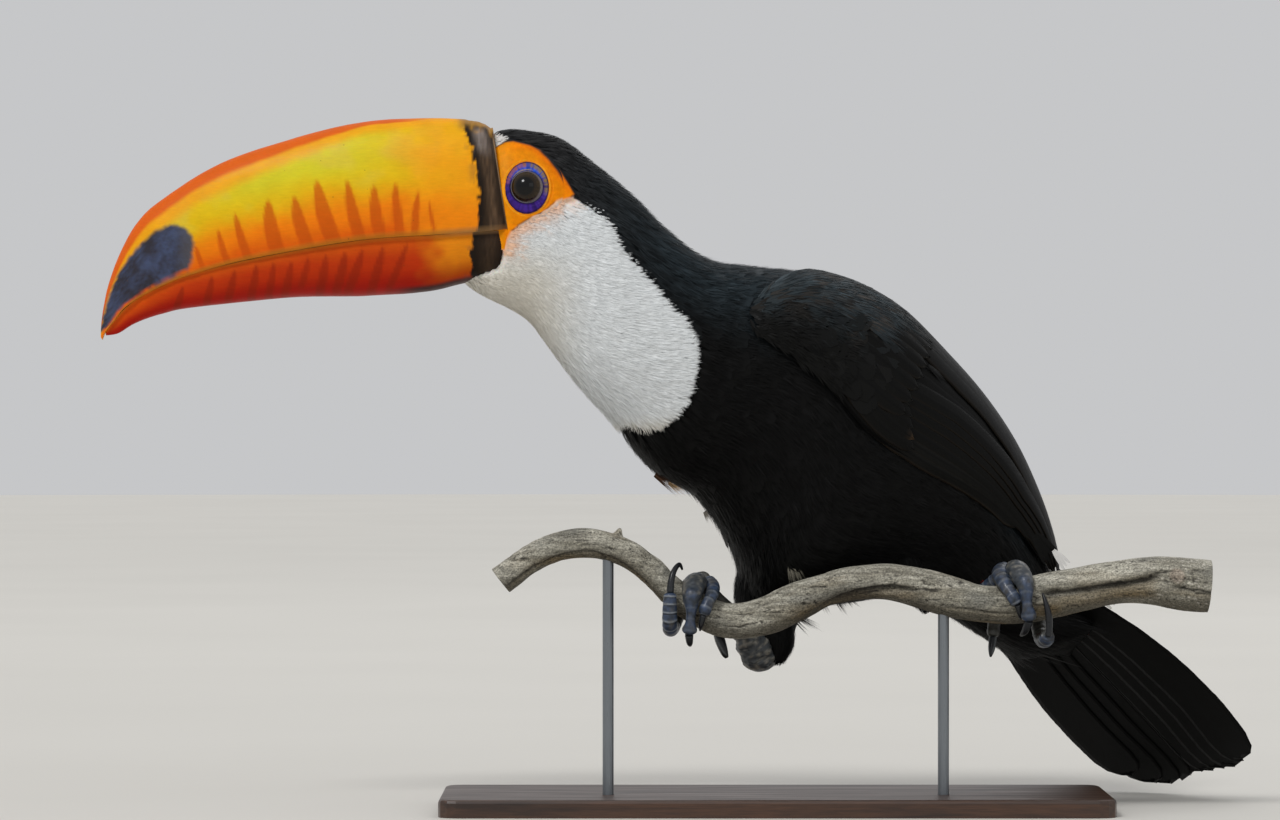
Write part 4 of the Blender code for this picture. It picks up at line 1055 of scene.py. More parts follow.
def billPart(half):
    rows, columns = (380, 112) if half == "upper" else (350, 84)

    def place(down, around):
        t = down ** 0.9
        point = billPoint(half, t, around)
        mouth, ridge = billHeights(half, point[:, 0])
        inner = softStep(around, archShare, archShare + 0.02)
        back = backReach(half, point[:, 0], point[:, 2])
        later, sooner = (billPoint(half, np.clip(t + step, 0, 1), around) for step in (0.004, -0.004))
        after, before = (billPoint(half, t, np.clip(around + step, 0, archShare)) for step in (0.004, -0.004))
        outward = unit(np.cross(later - sooner, after - before))
        core = bend(point[:, 0], 0 * t, (mouth + ridge) / 2)
        outward *= np.sign((outward * (point - core)).sum(1))[:, None]
        flat = triple(point[:, 0], point[:, 1] * 0.5, point[:, 2])
        lip = billValues["lip"] * softStep(np.abs(point[:, 2] - mouth), 1.6, 0.3) * softStep(t, 0, 0.05)
        lip += (billValues["tomiumNotch"] * softNoise(flat, 2.4, 41)
            * softStep(np.abs(point[:, 2] - mouth), 1.8, 0.2))
        band = softStep(back, 12.5, 11.0) * softStep(back, 0.6, 1.2)
        rough = 0.14 * softNoise(triple(flat[:, 0] * 1.5, flat[:, 1], flat[:, 2] * 0.25), 1.1, 42)
        swell = lip - band * (billValues["bandSink"] + rough) + billValues["rim"] * softStep(back, 1.0, 0.5)
        swell += 0.10 * softNoise(flat, 11, 43) + 0.03 * softNoise(flat, 2.5, 44)
        tip = softStep(1 - t, 0.0, 0.06)
        point = point + outward * (swell * (1 - inner) * tip)[:, None]
        ends = np.minimum(np.clip(down / 0.004, 0, 1), np.clip((1 - down) / 0.004, 0, 1))[:, None]
        middle = (billPoint(half, t, around * 0 + archShare * 0.5) * 0.5
            + billPoint(half, t, around * 0 + 0.91) * 0.5)
        return middle + (point - middle) * ends

    part = gridPart(rows, columns, place)
    part["tint"] = billTint(half, part["co"])
    return part


# keratin of the bill: smooth, a little translucent, waxy, with hair-fine growth lines
billMaterial, tree, shader = newMaterial("billKeratin", {
    "Roughness": 0.45, "IOR": 1.5, "Specular IOR Level": 0.1, "Coat Weight": 0.02, "Coat Roughness": 0.2,
    "Subsurface Weight": 0.1, "Subsurface Scale": 0.003, "Subsurface Radius": (1.0, 0.4, 0.1)})
place = addNode(tree, "TexCoord", {}).outputs["Object"]
tint = addNode(tree, "Attribute", {"attribute_name": "tint"})
drawn = addNode(tree, "Mapping", {"Vector": place, "Scale": (0.25, 1.0, 1.3)})
lines = addNode(tree, "TexNoise", {"Vector": drawn, "Scale": 1 / (1.1 * mm), "Detail": 5.0,
    "Roughness": 0.65})
cloud = addNode(tree, "TexNoise", {"Vector": place, "Scale": 1 / (9 * mm), "Detail": 4.0})
shade = addNode(tree, "MapRange", {**noiseSpan, 0: lines, 3: 0.93, 4: 1.05})
drift = addNode(tree, "MapRange", {**noiseSpan, 0: cloud, 3: 0.95, 4: 1.04})
colour = addNode(tree, "Mix", {**multiplied, 6: tint, 7: shade}).outputs[2]
colour = addNode(tree, "Mix", {**multiplied, 6: colour, 7: drift}).outputs[2]
cells = addNode(tree, "TexVoronoi", {"Vector": place, "Scale": 1 / (7 * mm)})
speck = addNode(tree, "MapRange", {0: cells, 1: 0.03, 2: 0.055, 3: 0.45, 4: 0.0})
colour = addNode(tree, "Mix", {**mixed, 0: speck, 6: colour, 7: billColours["speck"]}).outputs[2]
rough = addNode(tree, "MapRange", {**noiseSpan, 0: lines, 3: 0.38, 4: 0.55})
bump = addNode(tree, "Bump", {"Height": lines, "Strength": 0.25, "Distance": 0.0001})
setNode(tree, shader, {"Base Color": colour, "Roughness": rough, "Normal": bump})
for half in ("upper", "lower"):
    buildPiece("billHorn_" + half, [billPart(half)], [billMaterial], ["bill_" + half])


# Coat: small feathers laid on the surface, each a leaf or a fan of fine barbs

def plumeTemplate(blades, columns, rows, outline, spread):
    # one feather as arrays: across and along from a flat grid, and which blade each point is on
    across, along, blade, tri = [], [], [], []
    for k in range(blades):
        bm = bmesh.new()
        bmesh.ops.create_grid(bm, x_segments=columns, y_segments=rows, size=0.5)
        for vert in bm.verts:
            t = vert.co.y + 0.5
            vert.co.x *= 2 * np.interp(t, *zip(*outline))
        bmesh.ops.remove_doubles(bm, verts=bm.verts[:], dist=1e-6)
        bmesh.ops.triangulate(bm, faces=bm.faces[:])
        bm.verts.index_update()
        place = (k - (blades - 1) / 2) / max(1, (blades - 1) / 2)
        first = len(across)
        for vert in bm.verts:
            t = vert.co.y + 0.5
            across.append(vert.co.x + place * (spread[0] + (spread[1] - spread[0]) * t))
            along.append(t * (1 - 0.16 * place * place))
            blade.append(k)
        tri += [[v.index + first for v in f.verts] for f in bm.faces]
        bm.free()
    return {"across": np.array(across), "along": np.array(along), "blade": np.array(blade),
        "tri": np.array(tri), "blades": blades}


templates = {
    "barbs": plumeTemplate(5, 1, 3, [(0, 0.12), (0.35, 0.20), (0.7, 0.13), (1, 0.0)], (0.22, 0.85)),
    "wisp": plumeTemplate(3, 1, 3, [(0, 0.16), (0.3, 0.26), (0.7, 0.15), (1, 0.0)], (0.25, 0.7)),
    "leaf": plumeTemplate(1, 4, 5, [(0, 0.25), (0.2, 0.7), (0.5, 1.0), (0.8, 0.82), (1, 0.42)], (0, 0)),
    "broadLeaf": plumeTemplate(1, 6, 7, [(0, 0.3), (0.2, 0.75), (0.5, 1.0), (0.8, 0.9), (0.93, 0.62),
                                         (1, 0.25)], (0, 0)),
}


def scatterRoots(surface, pitch, sRange, aRange=(-math.pi, math.pi), rowPitch=0.8):
    # staggered rows round the surface, about pitch apart
    allS, allA = [], []
    s, odd = sRange[0], 0.0
    while s < sRange[1]:
        angles = np.linspace(*aRange, 97)
        ring = surface(np.full(97, s), angles)
        reach = np.concatenate([[0], np.cumsum(np.linalg.norm(np.diff(ring, axis=0), axis=1))])
        count = max(1, int(reach[-1] / pitch))
        spot = ((np.arange(count) + 0.25 + 0.5 * odd + randomDraw.uniform(-0.3, 0.3, count))
            / count * reach[-1])
        stepS = np.linalg.norm(surface(np.full(97, s + 0.02), angles) - ring, axis=1).mean() / 0.02
        stepS = max(stepS, 1e-3)
        allA.append(np.interp(spot, reach, angles))
        allS.append(s + randomDraw.uniform(-0.35, 0.35, count) * pitch / stepS)
        s += pitch * rowPitch / stepS
        odd = 1.0 - odd
    return np.concatenate(allS), np.concatenate(allA)


bakeValues = {"patch": 0.003, "stations": 21.5}  # size of a tuft's patch in the map, and the map's length


def bakeSpot(s, a):  # a root's place on the unwrapped skin
    return np.stack([(a / math.tau + 0.5) % 1.0, s / bakeValues["stations"]], -1)


def bakePatch(shape):
    return np.stack([shape["across"] * 0.5, shape["along"] - 0.5], -1) * bakeValues["patch"]


def layPlumes(surface, s, a, template, length, width, turn=0.0, low=-1.5, high=0.2, tint=None, flip=1,
        bakePlace=None, cup=0.25, loose=1.0, lift=0.3, soft=0.12):
    shape = templates[template]
    n = len(s)
    spread = (length, width, turn, low, high, lift, cup)
    spread = [np.broadcast_to(np.asarray(v, float), (n,))[:, None] for v in spread]
    length, width, turn, low, high, lift, cup = spread
    _, perS, perA = surfaceFrame(surface, s, a)
    draw = [randomDraw.normal(0, 1, (n, shape["blades"]))[:, shape["blade"]] for _ in range(3)]
    y = shape["along"][None, :] * (1 + 0.10 * draw[0] * loose)
    x = shape["across"][None, :] + 0.22 * draw[1] * y * y * loose
    edge = randomDraw.uniform(-1, 1, (n, len(shape["along"]))) * 0.05 * (shape["along"] > 0.75)
    down, side = (y + edge) * length, x * width / 2
    stepS = (down * np.cos(turn) - side * np.sin(turn)) / perS[:, None]
    stepA = (down * np.sin(turn) + side * np.cos(turn)) / perA[:, None] * flip
    placeS, placeA = (s[:, None] + stepS).ravel(), (a[:, None] + stepA).ravel()
    height = (low + (high - low) * y ** 0.8 + lift * draw[2] * y * y * loose
        - cup * x * x * np.minimum(y * 3, 1))
    normal = surfaceFrame(surface, placeS, placeA)[0] * flip
    part = {"co": surface(placeS, placeA) + normal * height.ravel()[:, None]}
    t = len(shape["along"])
    part["tri"] = (shape["tri"][None, :, ::-1] + (np.arange(n) * t)[:, None, None]).reshape(-1, 3)
    tilt = randomDraw.normal(0, soft, (n, shape["blades"], 3))[:, shape["blade"]].reshape(-1, 3)
    part["normal"] = unit(normal + tilt)
    part["tint"] = np.repeat(tint, t, axis=0)
    chance = np.repeat(randomDraw.uniform(0, 1, n), t)
    part["vane"] = triple((side * np.ones_like(y)).ravel(), (down * np.ones_like(x)).ravel(), chance)
    place = bakeSpot(s, a) if bakePlace is None else bakePlace
    part["uv"] = (0.004 + 0.992 * np.repeat(place, t, axis=0)) + np.tile(bakePatch(shape), (n, 1))
    return part


def vary(tint, amount):  # each feather a little lighter or darker than its neighbour
    return np.clip(tint * (1 + amount * randomDraw.normal(0, 1, len(tint)))[:, None], 0.0, 1)


def underWing(s, a):
    upper, lower = np.radians(wingRow(s, 1)), np.radians(wingRow(s, 2))
    return (s > 9.5) & (s < 17.2) & (np.abs(a) > upper + 0.14) & (np.abs(a) < lower - 0.12)


wingRows = [(8.84, 50, 62, 0.8), (9.1, 35, 70, 2.4), (9.5, 23, 74.5, 4.0), (10, 15, 78, 5.0),
            (11, 8, 82, 5.5), (12, 6, 82, 5.5), (13, 6, 81, 5), (14, 6, 79, 5), (15, 7, 76, 4.5),
            (16, 9, 70, 4.2), (17, 13, 61, 3.6), (17.75, 22, 52, 2.6), (17.97, 30, 44, 1.6)]
wingTable = smoothTable(wingRows, 300)[1]


def wingRow(s, column):  # 1: upper edge and 2: lower edge in degrees from the spine, 3: thickness
    return np.interp(s, wingTable[:, 0], wingTable[:, column])


# plumage: matt barbs with a faint silky sheen
plumage, tree, shader = newMaterial("plumage", {"Roughness": 0.55, "IOR": 1.5, "Specular IOR Level": 0.1,
    "Sheen Weight": 0.03, "Sheen Roughness": 0.4})
tint = addNode(tree, "Attribute", {"attribute_name": "tint"})
vane = addNode(tree, "Attribute", {"attribute_name": "vane"}).outputs["Vector"]
drawn = addNode(tree, "Mapping", {"Vector": vane, "Scale": (2.4, 0.35, 40.0)})
barbs = addNode(tree, "TexNoise", {"Vector": drawn, "Scale": 2.2, "Detail": 2.0})
shade = addNode(tree, "MapRange", {**noiseSpan, 0: barbs, 3: 0.88, 4: 1.08})
colour = addNode(tree, "Mix", {**multiplied, 6: tint, 7: shade})
rough = addNode(tree, "MapRange", {**noiseSpan, 0: barbs, 3: 0.42, 4: 0.68})
setNode(tree, shader, {"Base Color": colour.outputs[2], "Roughness": rough})

coatValues = {  # pitch, length and width of the feathers
    "face": (1.2, 3.4, 1.6), "bib": (1.55, 8.5, 2.3), "crown": (1.7, 6.0, 2.0), "neck": (2.4, 9.5, 3.2),
    "breast": (3.2, 12.0, 4.4), "underlay": (4.4, 15.0, 9.5), "rump": (3.4, 19.0, 6.5),
    "vent": (3.0, 12.0, 5.0), "tailBase": (3.2, 20.0, 6.5),
}


def zones(s, a):
    u, v, z = sideView(s, a)
    bib = insideBy(markings["bib"], u, z)
    bare = insideBy(markings["bareSkin"], u, z)
    patch = insideBy(markings["foreheadPatch"], u, z)
    return u, v, z, bib, bare, patch


def coatPart(zone, template, sRange, chosen, turn, low, high, vari=0.08, lift=0.3, loose=1.0):
    pitch, length, width = coatValues[zone]
    s, a = scatterRoots(bodyPoint, pitch, sRange)
    keep = chosen(s, a) & ~underWing(s, a)
    s, a = s[keep], a[keep]
    white = zone in ("face", "bib")
    jitter = np.abs(randomDraw.normal(0, 0.6, len(s))) if white else np.full(len(s), -2.0)
    tint = vary(plumageTint(s, a, jitter), vari)
    size = np.clip(1 + 0.12 * randomDraw.normal(0, 1, len(s)), 0.7, 1.35)
    if white:  # shorter towards the edge of the white
        u, v, z, bib, bare, patch = zones(s, a)
        size = (size * np.clip((np.maximum(bib, patch * 0.5) + 1.2 + 0.8 * randomDraw.random(len(s)))
            / length, 0.22, 1))
    reach = surfaceFrame(bodyPoint, s, a)[1]
    tip = s + length * size / reach
    # none may lie across the bare skin, and no black one across the white
    u, v, z, bib, bare, patch = zones(tip, a)
    crossing = (bare > -0.2) | ((bib > 0.5) & (not white))
    crossing |= (not white) & (zone != "vent") & (ventShare(s + 0.7 * length * size / reach, a) > 0.6)
    size = np.where(crossing, size * 0.4, size)
    sway = turn(s, a) + 0.10 * loose * randomDraw.normal(0, 1, len(s))
    depth = np.interp(s, *zip(*skinValues["sink"]))
    high = high - 2.4 * softStep(around(a), 2.4, 2.85) * softStep(s, 11.6, 12.4) * softStep(s, 16.0, 15.2)
    return layPlumes(bodyPoint, s, a, template, length * size, width * size, sway, -depth * low, high, tint,
        lift=lift, loose=loose)


def bibTurn(s, a):  # the bib's feathers fan a little up the side towards the neck
    return -np.sign(a) * 0.42 * np.sin(around(a)) * softStep(s, 3.0, 6.5) - np.sign(a) * 0.1


def noTurn(s, a):
    return np.zeros_like(s)


def faceChosen(s, a):
    u, v, z, bib, bare, patch = zones(s, a)
    return ((bare < 1.0 + randomDraw.normal(0, 0.7, len(s))) & ((bib > -0.3) | (patch > 0))
        & (u > billEdge(z) + 0.3))


def bibChosen(s, a):
    u, v, z, bib, bare, patch = zones(s, a)
    return (bare < -3) & (bib + randomDraw.normal(0, 0.5, len(s)) > -0.3) & (u > billEdge(z) + 0.5)


def blackChosen(s, a):
    u, v, z, bib, bare, patch = zones(s, a)
    frontEdge = (u < -114) & (z < 301.5)
    return (bare < -0.6) & (bib < 0.4) & (patch < 0.2) & ~frontEdge & (ventShare(s, a) < 0.5)


facePart = coatPart("face", "barbs", (0.1, 4.2), faceChosen, bibTurn, 0.8, 0.25, vari=0.03,
    lift=0.06, loose=0.6)
buildPiece("facePlumage", [facePart], [plumage], bakeMap=True)
bibPart = coatPart("bib", "barbs", (1.0, 9.0), bibChosen, bibTurn, 0.85, 0.35, vari=0.03,
    lift=0.12, loose=0.6)
buildPiece("bibPlumage", [bibPart], [plumage], bakeMap=True)
crown = coatPart("crown", "barbs", (0.2, 5.0), blackChosen, noTurn, 0.85, 0.3, vari=0.3, lift=0.12)
neck = coatPart("neck", "barbs", (5.0, 9.3), blackChosen, noTurn, 0.85, 0.3, vari=0.3, lift=0.25)
buildPiece("crownPlumage", [crown, neck], [plumage], bakeMap=True)
under = coatPart("underlay", "leaf", (7.5, 17.6), blackChosen, noTurn, 0.9, -0.7, vari=0.08)
buildPiece("bodyFeathers", [under], [plumage], bakeMap=True)
breast = coatPart("breast", "barbs", (9.0, 17.6), blackChosen, noTurn, 0.7, 0.5, vari=0.35, lift=0.45)
buildPiece("breastPlumage", [breast], [plumage], bakeMap=True)


def rumpChosen(s, a):
    return around(a) < 0.62


def ventChosen(s, a):
    return ventShare(s, a) > 0.5


def tailBaseChosen(s, a):
    return (around(a) > 0.56) & ~ventChosen(s, a)


rump = coatPart("rump", "barbs", (16.2, 18.9), rumpChosen, noTurn, 0.6, 1.4, vari=0.05, lift=0.5)
vent = coatPart("vent", "barbs", (15.0, 17.4), ventChosen, noTurn, 0.6, 0.9, vari=0.12, lift=0.4)
tailBase = coatPart("tailBase", "barbs", (16.4, 19.0), tailBaseChosen, noTurn, 0.6, 0.4, vari=0.12,
    lift=0.12, loose=0.6)
buildPiece("tailCoverts", [rump, vent, tailBase], [plumage], bakeMap=True)

# Thighs: trousers of loose black plumes, full in front and drawn in over the heel
thighPlumes = {
    "right": [(14, 32, 126, 16), (3.5, 29, 110, 17), (-3.5, 25, 97, 15), (-2.5, 20, 85, 12), (1, 16, 74, 8.6),
              (1, 13, 65, 3)],
    "left": [(50, 25, 130, 14), (57, 17, 112, 10), (63, 15.5, 99, 6.4), (70, 12.5, 89, 2.4)]}
thighParts = []
for side in ("left", "right"):
    thigh = limbLine(thighPlumes[side], (-1.0, 0.0, 0.0))

    def thighPoint(t, turn, line=thigh):
        t, turn = np.broadcast_arrays(t, turn)
        return line.point(t, turn, np.ones_like(t))

    s, a = scatterRoots(thighPoint, 2.2, (0.02, 0.9), (0, math.tau))
    flip = np.sign((surfaceFrame(thighPoint, s, a)[0]
        * (thighPoint(s, a) - thigh.read(thigh.centre, s))).sum(1)).mean()
    tint = vary(colourArray(plumageColours["black"], s), 0.3)
    corner = np.stack([0.02 + 0.2 * a / math.tau + (0.5 if side == "left" else 0.0), 0.93 + 0.05 * s], -1)
    thighParts.append(layPlumes(thighPoint, s, a, "barbs", 10.0, 3.6, 0.0, -1.8, 0.4, tint,
        flip=1 if flip > 0 else -1, bakePlace=corner))


def looseTuft(root, tip, width, colour, blades, curl, place, template="wisp"):
    # a few stray barbs from root to tip, spread sideways and curling outwards
    root, tip = np.array(root, float), np.array(tip, float)
    along = tip - root
    outward = unit(np.array([along[2], 0.0, -along[0]]))
    shape = templates[template]
    parts = []
    for k in range(blades):
        spot = (k + 0.5) / blades * 2 - 1
        reach = (along * (1 + (0.18 if template == "wisp" else 0.05) * randomDraw.normal())
            + outward * spot * width * 0.7)
        base = root + outward * spot * width * 0.35 + np.array([0, 0.4, 0]) * randomDraw.normal()
        y = shape["along"][:, None]
        co = base + reach * y + outward * (shape["across"][:, None] * width / blades * 0.9)
        co = co + np.array([0, -1.0, 0]) * curl * y * y * (1 + 0.3 * spot)
        flat = np.array(place) + bakePatch(shape)
        tint = colourArray(colour, co) * (1 + (0.25 if template == "wisp" else 0.04) * randomDraw.normal())
        parts.append({"co": co, "tri": shape["tri"], "tint": np.clip(tint, 0, 1), "uv": flat,
            "vane": triple(shape["across"] * 2, shape["along"] * 8, co[:, 0] * 0 + 0.5)})
    return parts


tuftParts = []
for index, (root, tip, width, colour, blades, curl) in enumerate((
        ((-54, 1.5, 151.0), (-42.5, 1.0, 143.6), 3.4, "#4A3426", 12, 0.6),
        ((-48, 1.0, 147.2), (-40.6, 0.5, 142.0), 1.8, "#A88C68", 6, 0.8),
        ((-31.5, 17, 134.0), (-28.6, 16, 129.6), 2.2, "#B5AFA4", 6, 1.0),
        ((6.5, -6.5, 114.0), (10.4, -9.0, 101.0), 4.2, "#6E6A5E", 9, 1.2),
        ((8.5, 14, 87.0), (18.5, 12, 80.0), 4.0, "#141414", 9, 1.0),
        ((20.5, 28, 95.5), (25.0, 26, 86.8), 1.6, "#101010", 3, 1.0),
        ((28.0, 28, 95.0), (33.5, 26, 89.6), 3.4, "#101010", 8, 1.0),
        ((33.0, 28, 95.5), (39.0, 26, 91.4), 3.4, "#141414", 6, 1.0),
        ((125.6, 5, 116.8), (132.0, 6, 109.4), 2.8, "#EDEBE7", 3, 0.0),
        ((142.5, 22, 100.8), (155.0, 22, 91.6), 3.6, "#C6C5C0", 3, 0.0),
        ((117.5, 6, 124.0), (125.4, 8, 112.4), 5.0, "#10100F", 4, 0.0))):
    tuftParts += looseTuft(root, tip, width, colour, blades, curl, (0.92 + 0.005 * index, 0.97),
        "leaf" if curl == 0 else "wisp")
buildPiece("thighPlumage", thighParts + tuftParts, [plumage], bakeMap=True)


# Wings: a thin arm under layered vanes, coverts and loose shoulder feathers

def wingSurface(side):
    sign = 1 if side == "right" else -1

    def point(s, q):  # q runs from the wing's upper edge to its lower edge
        s, q = np.broadcast_arrays(np.asarray(s, float), np.asarray(q, float))
        upper, lower, thick = (wingRow(s, k) for k in (1, 2, 3))
        a = sign * np.radians(upper + (lower - upper) * q)
        inside = np.clip(q, 0, 1)
        swell = 0.3 + 0.7 * np.sin(math.pi * inside ** 1.3) ** 0.6
        return onSurface(s, a, 0.8 + thick * swell)
    return point, sign


vaneOutline = {  # half width down the length: (place, share)
    "flight": [(0, 0.35), (0.1, 0.8), (0.3, 1.0), (0.8, 0.92), (0.93, 0.68), (0.98, 0.38), (1, 0.0)],
    "covert": [(0, 0.4), (0.15, 0.8), (0.5, 1.0), (0.8, 0.94), (0.93, 0.7), (0.98, 0.4), (1, 0.0)],
    "rectrix": [(0, 0.5), (0.15, 0.85), (0.5, 1.0), (0.88, 1.0), (0.95, 0.84), (0.985, 0.55), (1, 0.0)],
}


def acrossVane(around):  # -1 to 1 over the top, then back underneath
    return np.where(around <= 0.5, around * 4 - 1, 3 - around * 4)


def vanePart(surface, flip, line, halfWidth, kind, height, tint, rows=40, thickness=0.3, camber=0.5,
        frayed=0.0, lean=0.0, worn=0.0):
    # one long feather: line is (place down it, s, q), and lean moves its shaft off the middle
    columns = 20
    ragged = randomDraw.uniform(-1, 1, (rows + 1, 2)) * frayed

    def place(down, around):
        top = around <= 0.5
        x = acrossVane(around)
        s, q = (np.interp(down, [p[0] for p in line], [p[k] for p in line]) for k in (1, 2))
        _, perS, perQ = surfaceFrame(surface, s, q)
        wide = halfWidth * np.interp(down, *zip(*vaneOutline[kind]))
        row = np.clip((down * rows).round().astype(int), 0, rows)
        wide = wide * (1 + ragged[row, (x > 0).astype(int)] * np.abs(x) ** 3)
        side = (x - lean * (1 - x * x)) * wide
        droop = -camber * x * x + 0.22 * np.exp(-((x / 0.09) ** 2)) * (1 - down) * top
        lens = thickness * (1 - x * x) * np.minimum(1, (1 - down) * 12)
        level = np.interp(down, [0, 1], height) + droop - np.where(top, 0, lens)
        tip = softNoise(triple(x * 6, x * 0 + halfWidth, x * 0 + line[0][2] * 9), 1.0, 71)
        placeS, placeQ = s + worn * tip * softStep(down, 0.9, 1.0), q + side / perQ
        normal = surfaceFrame(surface, placeS, placeQ)[0] * flip
        return surface(placeS, placeQ) + normal * level[:, None]

    part = gridPart(rows, columns, place, weld=1e-4)
    x = acrossVane(part["across"])
    part["tint"] = tint(part["down"], x)
    root, tip = (surface(np.array([end[1]]), np.array([end[2]])) for end in (line[0], line[-1]))
    length = np.linalg.norm(tip - root)
    part["vane"] = triple(x * halfWidth, part["down"] * length, np.full(len(x), randomDraw.uniform()))
    return part


def packMap(parts):  # vanes lie side by side in the map
    for k, part in enumerate(parts):
        part["uv"] = np.stack([(k + 0.05 + 0.9 * part["across"]) / len(parts),
            0.01 + 0.98 * part["down"]], -1)
    return parts


vaneColours = {"vane": "#0B0B0A", "edge": "#261F17", "tan": "#7A5E40", "shaft": "#080808", "cool": "#2F373B",
               "warm": "#34312E"}


def vaneTint(edgeSheen, tan=0.0, shade=1.0):
    def colour(down, x):
        tint = colourArray(vaneColours["vane"], x) * shade
        # the pale edge of each vane is a painted sheen
        tint = paint(tint, vaneColours,
            ("edge", edgeSheen * softStep(x, 0.55, 1.0)),
            ("tan", tan * softStep(down, 0.95, 0.99)))
        return blendColours(tint, vaneColours["shaft"], softStep(np.abs(x), 0.1, 0.03))
    return colour


# vanes: closely set barbs at a slant to the shaft, glossier than the body's down
vaneMaterial, tree, shader = newMaterial("flightVane", {"Roughness": 0.42, "IOR": 1.5,
    "Specular IOR Level": 0.08, "Sheen Weight": 0.01, "Sheen Roughness": 0.35})
tint = addNode(tree, "Attribute", {"attribute_name": "tint"})
vane = addNode(tree, "Attribute", {"attribute_name": "vane"}).outputs["Vector"]
spot = addNode(tree, "SeparateXYZ", {"Vector": vane}).outputs
outward = addNode(tree, "Math", {"operation": "ABSOLUTE", 0: spot["X"]})
slant = addNode(tree, "Math", {"operation": "MULTIPLY_ADD", 0: outward, 1: -1.3, 2: spot["Y"]})
slanted = addNode(tree, "CombineXYZ", {"X": slant, "Y": spot["X"], "Z": spot["Z"]})
drawn = addNode(tree, "Mapping", {"Vector": slanted, "Scale": (1.5, 0.12, 30.0)})
barbs = addNode(tree, "TexNoise", {"Vector": drawn, "Scale": 1.4, "Detail": 3.0})
shade = addNode(tree, "MapRange", {**noiseSpan, 0: barbs, 3: 0.75, 4: 1.25})
colour = addNode(tree, "Mix", {**multiplied, 6: tint, 7: shade})
rough = addNode(tree, "MapRange", {**noiseSpan, 0: barbs, 3: 0.34, 4: 0.55})
bump = addNode(tree, "Bump", {"Height": barbs, "Strength": 0.25, "Distance": 0.0001})
setNode(tree, shader, {"Base Color": colour.outputs[2], "Roughness": rough, "Normal": bump})


